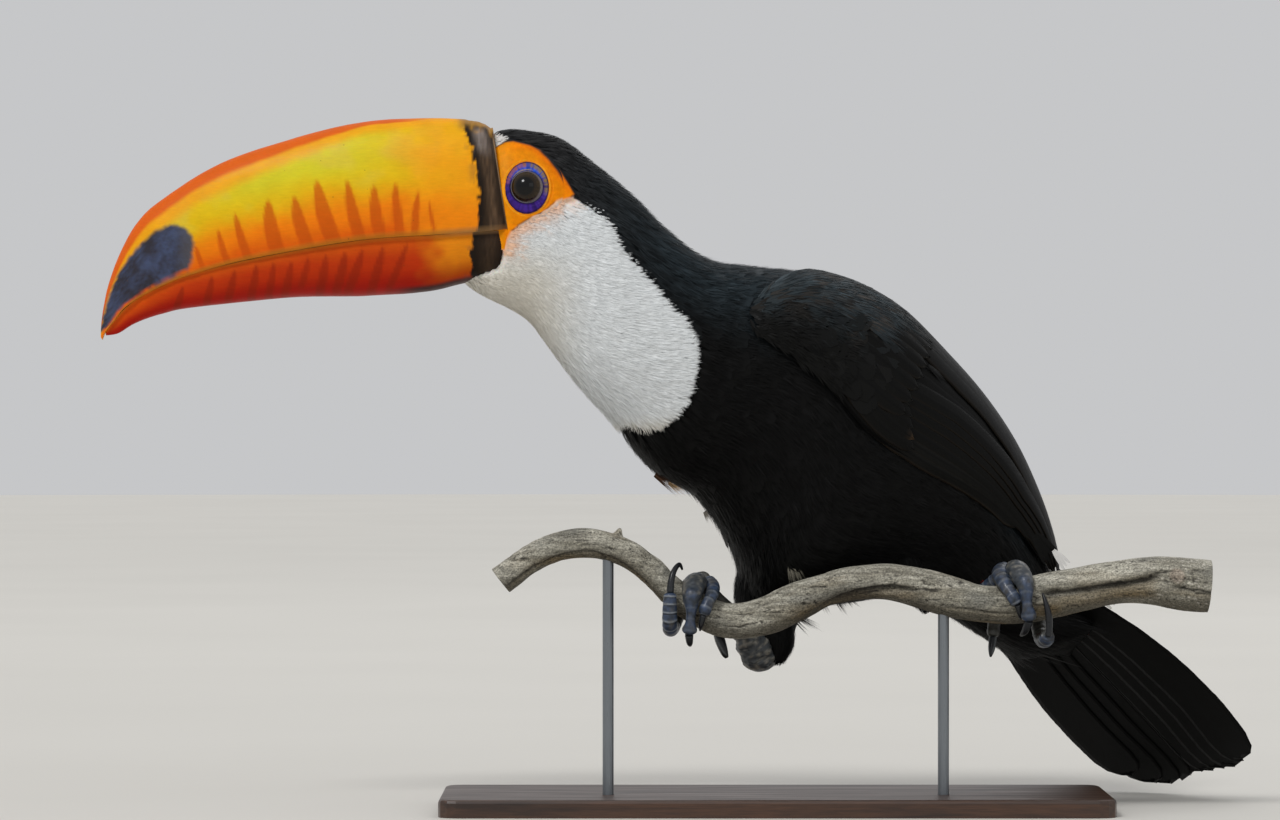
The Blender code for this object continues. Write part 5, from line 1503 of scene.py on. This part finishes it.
def wingPieces(side):
    surface, sign = wingSurface(side)
    arm = gridPart(70, 60, lambda down, around: armPlace(surface, sign, down, around))
    arm["tint"] = colourArray(vaneColours["shaft"], arm["co"])
    vanes = [arm]
    for k in range(7):  # primaries, from the lowest edge up
        q = 0.955 - 0.055 * k
        tipS = 17.4 + 0.17 * k if k > 2 else 16.3 + 0.62 * k
        line = [(0, 10.8, 0.93 - 0.03 * k), (0.4, 13.4, q + 0.005), (0.75, 15.8, q - 0.01),
            (1, tipS, q - 0.03 - 0.06 * max(0, k - 2))]
        vanes.append(vanePart(surface, sign, line, 4.6, "flight",
            (-1.6 + 0.2 * k, -1.0 + 0.26 * k + 0.6 * max(0, k - 3)),
            vaneTint(0.9 - 0.08 * k, shade=1.7 if k < 2 else 1.0), frayed=0.03, lean=-0.2, thickness=0.4))
    for k in range(8):  # secondaries
        q = 0.70 - 0.055 * k
        line = [(0, 10.6, 0.80 - 0.06 * k), (0.5, 13.0 + 0.1 * k, q + 0.02), (1, 15.4 + 0.26 * k, q - 0.02)]
        vanes.append(vanePart(surface, sign, line, 6.6, "flight", (-0.9 + 0.1 * k, -0.3 + 0.2 * k),
            vaneTint(0.45), frayed=0.03, lean=-0.1, thickness=0.4, camber=0.7))
    for k in range(5):  # tertials over the back
        q = 0.36 - 0.07 * k
        line = [(0, 10.0, 0.34 - 0.05 * k), (0.5, 12.8, q + 0.02), (1, 17.9 - 0.15 * k, q)]
        vanes.append(vanePart(surface, sign, line, 8.6, "flight", (-0.2 + 0.1 * k, 2.4 + 0.3 * k),
            vaneTint(0.35), frayed=0.03, thickness=0.4, camber=0.7))
    for k in range(5):  # primary coverts
        q = 0.94 - 0.045 * k
        line = [(0, 10.0, q - 0.06), (1, 12.9 - 0.12 * k, q)]
        vanes.append(vanePart(surface, sign, line, 4.6, "covert", (-0.2, 0.4 + 0.05 * k),
            vaneTint(0.35, 0.42 if k == 1 else 0.0), rows=24, frayed=0.03))
    for k in range(11):  # greater coverts
        q = 0.84 - 0.072 * k
        line = [(0, 9.7, q - 0.02), (1, 12.4 + 0.02 * k, q - 0.03)]
        vanes.append(vanePart(surface, sign, line, 5.8, "covert", (0.0, 1.0 + 0.12 * min(k, 4)),
            vaneTint(0.4, shade=1.1), rows=24, frayed=0.03, thickness=0.4, camber=0.7))
    buildPiece("flightFeathers_" + side, packMap(vanes), [vaneMaterial],
        ["wing_" + side], bakeMap=True)

    small = []
    for zone, template, pitch, length, width, sRange, qRange, low, high in (
            ("median", "broadLeaf", 5.6, 15.0, 9.0, (9.9, 11.3), (0.05, 0.93), 0.1, 1.0),
            ("lesser", "barbs", 2.9, 9.0, 4.6, (9.0, 10.8), (0.04, 0.97), 0.2, 1.2),
            ("edge", "barbs", 2.3, 6.5, 3.0, (8.86, 9.7), (0.02, 0.98), 0.3, 1.0),
            ("shoulder", "broadLeaf", 5.4, 15.0, 8.5, (9.3, 12.6), (0.0, 0.30), 0.5, 1.6),
            ("shoulderDown", "barbs", 2.6, 11.0, 4.4, (9.1, 12.9), (0.0, 0.56), 1.0, 2.0)):
        s, q = scatterRoots(surface, pitch, sRange, qRange)
        clear = q > 0.12 * softStep(s, 10.4, 9.4)  # none stand up at the front of the upper edge
        s, q = s[clear], q[clear]
        if zone.startswith("shoulder"):  # the shoulder feathers run out unevenly down the back
            stay = s + 3.2 * np.clip(q - 0.16, 0, 1) + 0.4 * randomDraw.normal(0, 1, len(s)) < sRange[1] - 0.3
            s, q = s[stay], q[stay]
            high = high - 0.7 * softStep(s, 11.0, 12.6) - 0.8 * softStep(q, 0.25, 0.5)
        count = len(s)
        # painted sheen: the wing's upper feathers are lighter, cool and warm grey as the top of the back is,
        # mixed at random from feather to feather
        upper = softStep(q, 0.85, 0.3) * softStep(s, 12.6, 10.8)
        mottle = softNoise(surface(s, q), 7.0, 61) + 0.5 * randomDraw.normal(0, 1, count)
        soft = blendColours(vaneColours["cool"], vaneColours["warm"], softStep(mottle, -0.1, 0.7))
        tint = vary(blendColours(vaneColours["vane"], soft, upper * (0.35 if template == "broadLeaf" else 1)),
            0.05 if template == "broadLeaf" else 0.3)
        high = high * (0.35 + 0.65 * softStep(q, 0.0, 0.3))
        turn = (0.16 if zone != "shoulderDown" else 0.0) * randomDraw.normal(0, 1, count) + 0.05
        size = 1 + 0.12 * randomDraw.normal(0, 1, count)
        angle = sign * np.radians(wingRow(s, 1) * (1 - q) + wingRow(s, 2) * q)
        flat = bakeSpot(s, angle)
        small.append(layPlumes(surface, s, q, template, length * size, width * size, turn, low, high, tint,
            flip=sign, bakePlace=flat, lift=0.25))
    buildPiece("wingCoverts_" + side, small, [plumage], bakeMap=True)


def armPlace(surface, sign, down, around):  # the closed core of the folded wing
    top = around <= 0.5
    q = np.where(top, around * 2, 2 - around * 2)
    s = 9.0 + 8.72 * down
    normal = surfaceFrame(surface, s, q)[0] * sign
    thick = wingRow(s, 3) * 0.55
    edge = np.sin(q * math.pi) ** 0.5
    sink = -1.5 - np.where(top, 0.0, thick * edge)
    ends = np.minimum(np.clip(down / 0.03, 0, 1), np.clip((1 - down) / 0.05, 0, 1)) ** 0.5
    q = 0.5 + (q - 0.5) * ends * 0.97
    return surface(s, q) + normal * sink[:, None]


for side in ("left", "right"):
    wingPieces(side)


# Tail: ten broad feathers, the middle pair on top

def fanSurface(t, q):
    return fanPoint(t, q, np.zeros(np.broadcast(t, q).shape))


tailValues = {
    "reach": [0.965, 0.985, 0.985, 0.98, 0.975, 0.975, 0.985, 0.99, 0.965, 0.90],
    "halfWidth": 12.5, "overlap": 0.3,
    # places down the tail, then the reach of its two edges from the middle
    "places": [0.05, 0.2, 0.35, 0.5, 0.7, 0.85, 1.0],
    "upperEdge": [37.5, 46.5, 51.5, 53.5, 52.5, 48.5, 43.5], "lowerEdge": [26, 33, 39, 43, 46, 46, 45],
}
rectrices = []
for k in range(10):
    rank = abs(k - 4.5) - 0.5
    half = tailValues["halfWidth"]
    level = 1.2 - tailValues["overlap"] * rank + (0.15 if k == 5 else 0.0)
    last = tailValues["reach"][k]
    line = []
    for t in np.linspace(0.05, last, 8):
        upper, lower = (np.interp(t, tailValues["places"], tailValues[key])
            for key in ("upperEdge", "lowerEdge"))
        middle = -(upper - half) + (upper + lower - 2 * half) * k / 9
        width = (np.linalg.norm(fanSurface(np.array([t]), np.array([1.0]))
            - fanSurface(np.array([t]), np.array([-1.0]))) / 2)
        line.append(((t - 0.05) / (last - 0.05), t, middle / width))
    rectrices.append(vanePart(fanSurface, 1, line, half, "rectrix", (level, level), vaneTint(0.0, shade=0.6),
        rows=60, thickness=0.2, camber=0.3, frayed=0.012, lean=0.12 * np.sign(k - 4.5), worn=0.014))
buildPiece("tailFeathers", packMap(rectrices), [vaneMaterial], ["tail"], bakeMap=True)


# Claws: curved, narrow from side to side, with a pale groove underneath

clawColours = {"horn": "#141518", "base": "#25282C", "edge": "#64686A", "tip": "#0C0D0E"}


def clawPart(side, name):
    rows = np.array(legLines[side][name])
    back = rows[0, :3] - rows[1, :3]
    rows[0, :3] += back * min(0.7, 1.5 / np.linalg.norm(back))  # the horn starts inside the toe
    line = limbLine(rows, awayFromPerch, 90)
    length = line.reach[-1]

    def place(down, across):
        turn = turnAt(across)
        narrow = 1 - 0.22 * np.sin(turn) ** 2
        groove = 0.16 * np.exp(-((np.abs(turn) - 2.75) / 0.22) ** 2)
        growth = 0.03 * np.sin(line.read(line.reach, down) * 7 + np.cos(turn)) * softStep(down, 0.5, 0.1)
        swell = (narrow - groove + growth) * roundEnds(down, 0.8 / length, 0.35 / length)
        return line.point(down, turn, swell * 1.02)

    part = gridPart(44, 28, place)
    turn = turnAt(part["across"])
    streak = softNoise(triple(turn * 3, part["down"] * 1.5, 0), 1.0, 31)
    tint = paint(clawColours["horn"], clawColours,
        ("base", np.clip(softStep(part["down"], 0.5, 0.0) * 0.7 + 0.35 * streak, 0, 1)),
        ("edge", 0.7 * np.exp(-((np.abs(turn) - 2.3) / 0.25) ** 2) * softStep(part["down"], 1.0, 0.6)))
    part["tint"] = blendColours(tint, clawColours["tip"], softStep(part["down"], 0.75, 1.0))
    return part


# horn of the claws: dark, smooth, with a dull polish and faint streaks
clawMaterial, tree, shader = newMaterial("clawHorn", {"Roughness": 0.3, "IOR": 1.5, "Coat Weight": 0.1,
    "Coat Roughness": 0.2, "Specular IOR Level": 0.3})
place = addNode(tree, "TexCoord", {}).outputs["Object"]
tint = addNode(tree, "Attribute", {"attribute_name": "tint"})
streaks = addNode(tree, "TexNoise", {"Vector": place, "Scale": 1 / (0.5 * mm), "Detail": 3.0})
shade = addNode(tree, "MapRange", {**noiseSpan, 0: streaks, 3: 0.8, 4: 1.2})
colour = addNode(tree, "Mix", {**multiplied, 6: tint, 7: shade})
rough = addNode(tree, "MapRange", {**noiseSpan, 0: streaks, 3: 0.24, 4: 0.45})
setNode(tree, shader, {"Base Color": colour.outputs[2], "Roughness": rough})
for side in ("left", "right"):
    buildPiece("claws_" + side, [clawPart(side, "claw_%d" % n) for n in (1, 2, 3, 4)], [clawMaterial],
        ["claw_%s_%d" % (side, n) for n in (1, 2, 3, 4)])


# Perch: a weathered branch with folds, cracks, a bud and sawn ends

branchValues = {
    "rows": 620, "columns": 120, "cap": 0.02,
    # folds: places along x, turn from the top towards the bird's left in degrees, then depth and width
    "folds": [
        ([(114, 70), (122, 76), (132, 82), (146, 87), (160, 80), (174, 64)], 3.4, 6.5),
        ([(14, 140), (28, 124), (42, 106), (55, 94), (66, 84)], 2.6, 5.4),
        ([(-126, 118), (-104, 124), (-82, 116), (-64, 136), (-48, 150), (-36, 140)], 0.9, 2.2),
        ([(172, 92), (184, 98), (204, 101)], 1.2, 3.0),
        ([(-20, 60), (0, 48), (20, 40), (44, 52), (64, 40)], 0.5, 1.6),
        ([(70, 120), (90, 108), (112, 118)], 0.7, 2.0),
        ([(-40, 215), (0, 235), (50, 225), (100, 245), (160, 232), (200, 240)], 1.3, 3.2),
        ([(-126, 262), (-80, 250), (-30, 272)], 0.9, 2.4)],
    "bud": (-70.5, 4, 3.2, 1.7), "knot": (178.5, 72, 4.6),
}
branchColours = {"bark": "#827E71", "pale": "#B4B0A2", "grey": "#65645D",
                 "under": "#595448", "ochre": "#6E5C3C",
                 "crack": "#1C1712", "knot": "#8F7263", "fleck": "#D2CCC0",
                 "wood": "#B89468", "ring": "#8A6238"}


def branchShape(x, turn, radius, point):  # how far the bark stands out, with masks for its colours; the fold mask is a painted shadow
    stretched = point * np.array([0.13, 1.0, 1.0]) + triple(0, x * 0.05, 0)
    grain = softNoise(stretched, 1.3, 41)
    coarse = softNoise(stretched, 3.4, 42)
    lumps = softNoise(point * np.array([0.5, 1, 1]), 9.0, 43)
    lines = softNoise(point * np.array([0.10, 1.0, 1.0]), 1.0, 44)
    crackle = softNoise(point * np.array([0.35, 1.0, 1.0]), 2.2, 45)
    rise = 0.16 * grain + 0.30 * coarse + 0.55 * lumps
    crack = softStep(np.abs(lines), 0.10, 0.02) * softStep(crackle, -0.2, 0.35)
    pits = softStep(softNoise(point, 1.1, 46), 0.66, 0.9)
    rise = rise - 0.42 * crack - 0.25 * pits
    foldShadow = np.zeros_like(x)
    lip = np.zeros_like(x)
    for path, depth, width in branchValues["folds"]:
        xs, turns = zip(*path)
        away = (turn - np.radians(np.interp(x, xs, turns)) + math.pi) % math.tau - math.pi
        away = away * radius + 0.5 * softNoise(point, 4.0, 47)
        ends = softStep(x, xs[0], xs[0] + 9) * softStep(x, xs[-1], xs[-1] - 9)
        cut = softStep(away, -0.7, 0.5) * softStep(away, width, 0.6) * ends
        roll = np.exp(-((away + 1.9) / 1.5) ** 2) * ends
        rise = rise - depth * cut + 0.22 * depth * roll
        # the inside of each fold is darkened with painted shadow
        foldShadow = np.maximum(foldShadow, cut * softStep(away, 0.9 * width, 0.1) * min(1, depth / 1.3))
        raised = softStep(away, 0.2 * width, 0.6 * width) * softStep(away, 1.7 * width, 0.9 * width)
        lip = np.maximum(lip, raised * ends * min(1, depth / 2))
    budX, budTurn, budHigh, budWide = branchValues["bud"]
    near = np.hypot(x - budX, ((turn - math.radians(budTurn) + math.pi) % math.tau - math.pi) * radius)
    rise = rise + budHigh * softStep(near, budWide * 1.5, 0.3) ** 1.2
    knotX, knotTurn, knotWide = branchValues["knot"]
    knotAway = np.hypot(x - knotX, (turn - math.radians(knotTurn)) * radius)
    knot = softStep(knotAway, knotWide, knotWide * 0.5)
    rise = (rise + 0.5 * knot
        + 0.22 * np.cos(knotAway * 2.2) * softStep(knotAway, knotWide * 1.6, knotWide * 0.4))
    return rise, crack, pits, foldShadow, lip, knot, grain, coarse, lumps


def branchParts():
    line = limbLine([list(row) for row in perchTable[1][::8]] + [list(perchTable[1][-1])],
        (0.0, 0.0, 1.0), 900)
    cap = branchValues["cap"]

    def read(down, across):
        t = np.clip((down - cap) / (1 - 2 * cap), 0, 1)
        return t, across * math.tau

    def place(down, across):
        t, turn = read(down, across)
        radius = line.read(line.radius, t)
        point = line.point(t, turn, np.ones_like(t))
        rise = branchShape(point[:, 0], turn, radius, point)[0]
        flat = np.minimum(np.clip(down / cap, 0, 1), np.clip((1 - down) / cap, 0, 1))
        edge = softStep(flat, 0.8, 1.0)
        out = (radius + np.where(flat < 1, rise * edge - 0.35 * (1 - edge), rise)) * flat
        sawn = 0.05 * np.sin(out * 5) * (flat < 0.9)
        return line.point(t, turn, out / radius) + line.read(line.along, t) * sawn[:, None]

    part = gridPart(branchValues["rows"], branchValues["columns"], place)
    t, turn = read(part["down"], part["across"])
    radius = line.read(line.radius, t)
    point = line.point(t, turn, np.ones_like(t))
    rise, crack, pits, foldShadow, lip, knot, grain, coarse, lumps = branchShape(point[:, 0], turn, radius, point)
    colour = branchColours
    # painted shade: the underside of the branch is darker (the under colour), and the top a little paler
    low = softStep(np.cos(turn), 0.0, -0.75)
    tint = paint(colour["bark"], colour,
        ("pale", np.clip(0.25 + 0.5 * coarse + 0.75 * grain + 0.2 * np.cos(turn), 0, 1)),
        ("grey", np.clip(0.9 * softNoise(point * np.array([0.4, 1, 1]), 6, 51), 0, 0.8)),
        ("under", np.clip(low * (0.75 + 0.4 * lumps), 0, 1)))
    warm = softStep(softNoise(point * np.array([0.3, 1, 1]), 7, 52), 0.15, 0.7) * (0.25 + 0.5 * low)
    tint = paint(tint, colour,
        ("ochre", np.clip(0.8 * warm + 0.4 * lip, 0, 0.8)),
        ("knot", 0.3 * knot))
    flecks = (softStep(softNoise(point * np.array([0.6, 1, 1]), 0.8, 53), 0.45, 0.8)
        * softStep(point[:, 0], 150, 185))
    tint = blendColours(tint, colour["fleck"], 0.5 * flecks)
    # painted shadow under the middle of the branch, in the crack colour
    underShadow = softStep(np.cos(turn), 0.1, -0.4) * softStep(point[:, 0], 2, 16) * softStep(point[:, 0], 76, 58)
    tint = paint(tint, colour,
        ("crack", 0.5 * underShadow * softStep(lumps, -0.9, 0.3)),
        ("crack", np.clip(0.85 * crack + 0.7 * pits + 0.92 * foldShadow, 0, 0.95)))
    flat = np.minimum(np.clip(part["down"] / cap, 0, 1), np.clip((1 - part["down"]) / cap, 0, 1))
    out = flat * radius
    rings = 0.5 + 0.5 * np.sin(out * 4.2 + softNoise(point, 5, 54))
    sawn = blendColours(colour["wood"], colour["ring"], 0.55 * rings)
    splits = softStep(np.abs(np.sin(turn * 3.5 + 0.6)), 0.06, 0.0) * softStep(flat, 0.1, 0.5)
    sawn = blendColours(sawn, colour["crack"], 0.7 * splits)
    part["tint"] = np.where((flat < 0.93)[:, None], sawn, tint)
    return [part]


# dry weathered bark: matt, grey where the sun has bleached it, rough to the touch
barkMaterial, tree, shader = newMaterial("weatheredBark", {"Roughness": 0.85, "IOR": 1.45})
place = addNode(tree, "TexCoord", {}).outputs["Object"]
tint = addNode(tree, "Attribute", {"attribute_name": "tint"})
drawn = addNode(tree, "Mapping", {"Vector": place, "Scale": (0.22, 1.0, 1.0)})
fibres = addNode(tree, "TexNoise", {"Vector": drawn, "Scale": 1 / (0.5 * mm), "Detail": 5.0,
    "Roughness": 0.65})
grit = addNode(tree, "TexNoise", {"Vector": place, "Scale": 1 / (0.75 * mm), "Detail": 4.0})
shade = addNode(tree, "MapRange", {**noiseSpan, 0: fibres, 3: 0.46, 4: 1.46})
speck = addNode(tree, "MapRange", {**noiseSpan, 0: grit, 3: 0.5, 4: 1.5})
colour = addNode(tree, "Mix", {**multiplied, 6: tint, 7: shade}).outputs[2]
colour = addNode(tree, "Mix", {**multiplied, 6: colour, 7: speck}).outputs[2]
rough = addNode(tree, "MapRange", {**noiseSpan, 0: fibres, 3: 0.92, 4: 0.7})
both = addNode(tree, "Math", {"operation": "MULTIPLY_ADD", 0: grit, 1: 0.4, 2: fibres})
bump = addNode(tree, "Bump", {"Height": both, "Strength": 0.8, "Distance": 0.0003})
setNode(tree, shader, {"Base Color": colour, "Roughness": rough, "Normal": bump})
buildPiece("branch", branchParts(), [barkMaterial], ["perch"])


# Stand: the base and rods keep their own shapes and get their finishes

standColours = {"wood": "#4A3020", "grain": "#2C1B11", "steel": "#8C9196", "drawnSteel": "#7C8186"}

# oiled dark hardwood: long grain, a satin skin that picks up a soft light
woodMaterial, tree, shader = newMaterial("oiledHardwood", {"Roughness": 0.45, "Coat Weight": 0.15,
    "Coat Roughness": 0.35})
place = addNode(tree, "TexCoord", {}).outputs["Object"]
drawn = addNode(tree, "Mapping", {"Vector": place, "Scale": (0.06, 1.0, 1.0)})
grain = addNode(tree, "TexNoise", {"Vector": drawn, "Scale": 1 / (4 * mm), "Detail": 5.0, "Distortion": 0.6})
pores = addNode(tree, "TexNoise", {"Vector": drawn, "Scale": 1 / (0.6 * mm), "Detail": 2.0})
streak = addNode(tree, "MapRange", {0: grain, 1: 0.35, 2: 0.65})
colour = addNode(tree, "Mix", {**mixed, 0: streak, 6: standColours["wood"], 7: standColours["grain"]})
shade = addNode(tree, "MapRange", {**noiseSpan, 0: pores, 3: 0.75, 4: 1.15})
colour = addNode(tree, "Mix", {**multiplied, 6: colour.outputs[2], 7: shade})
rough = addNode(tree, "MapRange", {**noiseSpan, 0: grain, 3: 0.36, 4: 0.55})
bump = addNode(tree, "Bump", {"Height": pores, "Strength": 0.15, "Distance": 0.0002})
setNode(tree, shader, {"Base Color": colour.outputs[2], "Roughness": rough, "Normal": bump})

# brushed steel rod: grey metal with fine drawn lines round it
steelMaterial, tree, shader = newMaterial("brushedSteel", {"Metallic": 1.0, "Roughness": 0.34})
place = addNode(tree, "TexCoord", {}).outputs["Object"]
drawn = addNode(tree, "Mapping", {"Vector": place, "Scale": (1.0, 1.0, 0.03)})
lines = addNode(tree, "TexNoise", {"Vector": drawn, "Scale": 1 / (0.3 * mm), "Detail": 3.0})
colour = addNode(tree, "Mix", {**mixed, 0: lines, 6: standColours["steel"], 7: standColours["drawnSteel"]})
rough = addNode(tree, "MapRange", {**noiseSpan, 0: lines, 3: 0.26, 4: 0.44})
bump = addNode(tree, "Bump", {"Height": lines, "Strength": 0.1, "Distance": 0.0001})
setNode(tree, shader, {"Base Color": colour.outputs[2], "Roughness": rough, "Normal": bump})

for name, material in (("stand_base", woodMaterial), ("stand_rod_1", steelMaterial),
        ("stand_rod_2", steelMaterial)):
    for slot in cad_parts[name].material_slots:
        slot.material = material
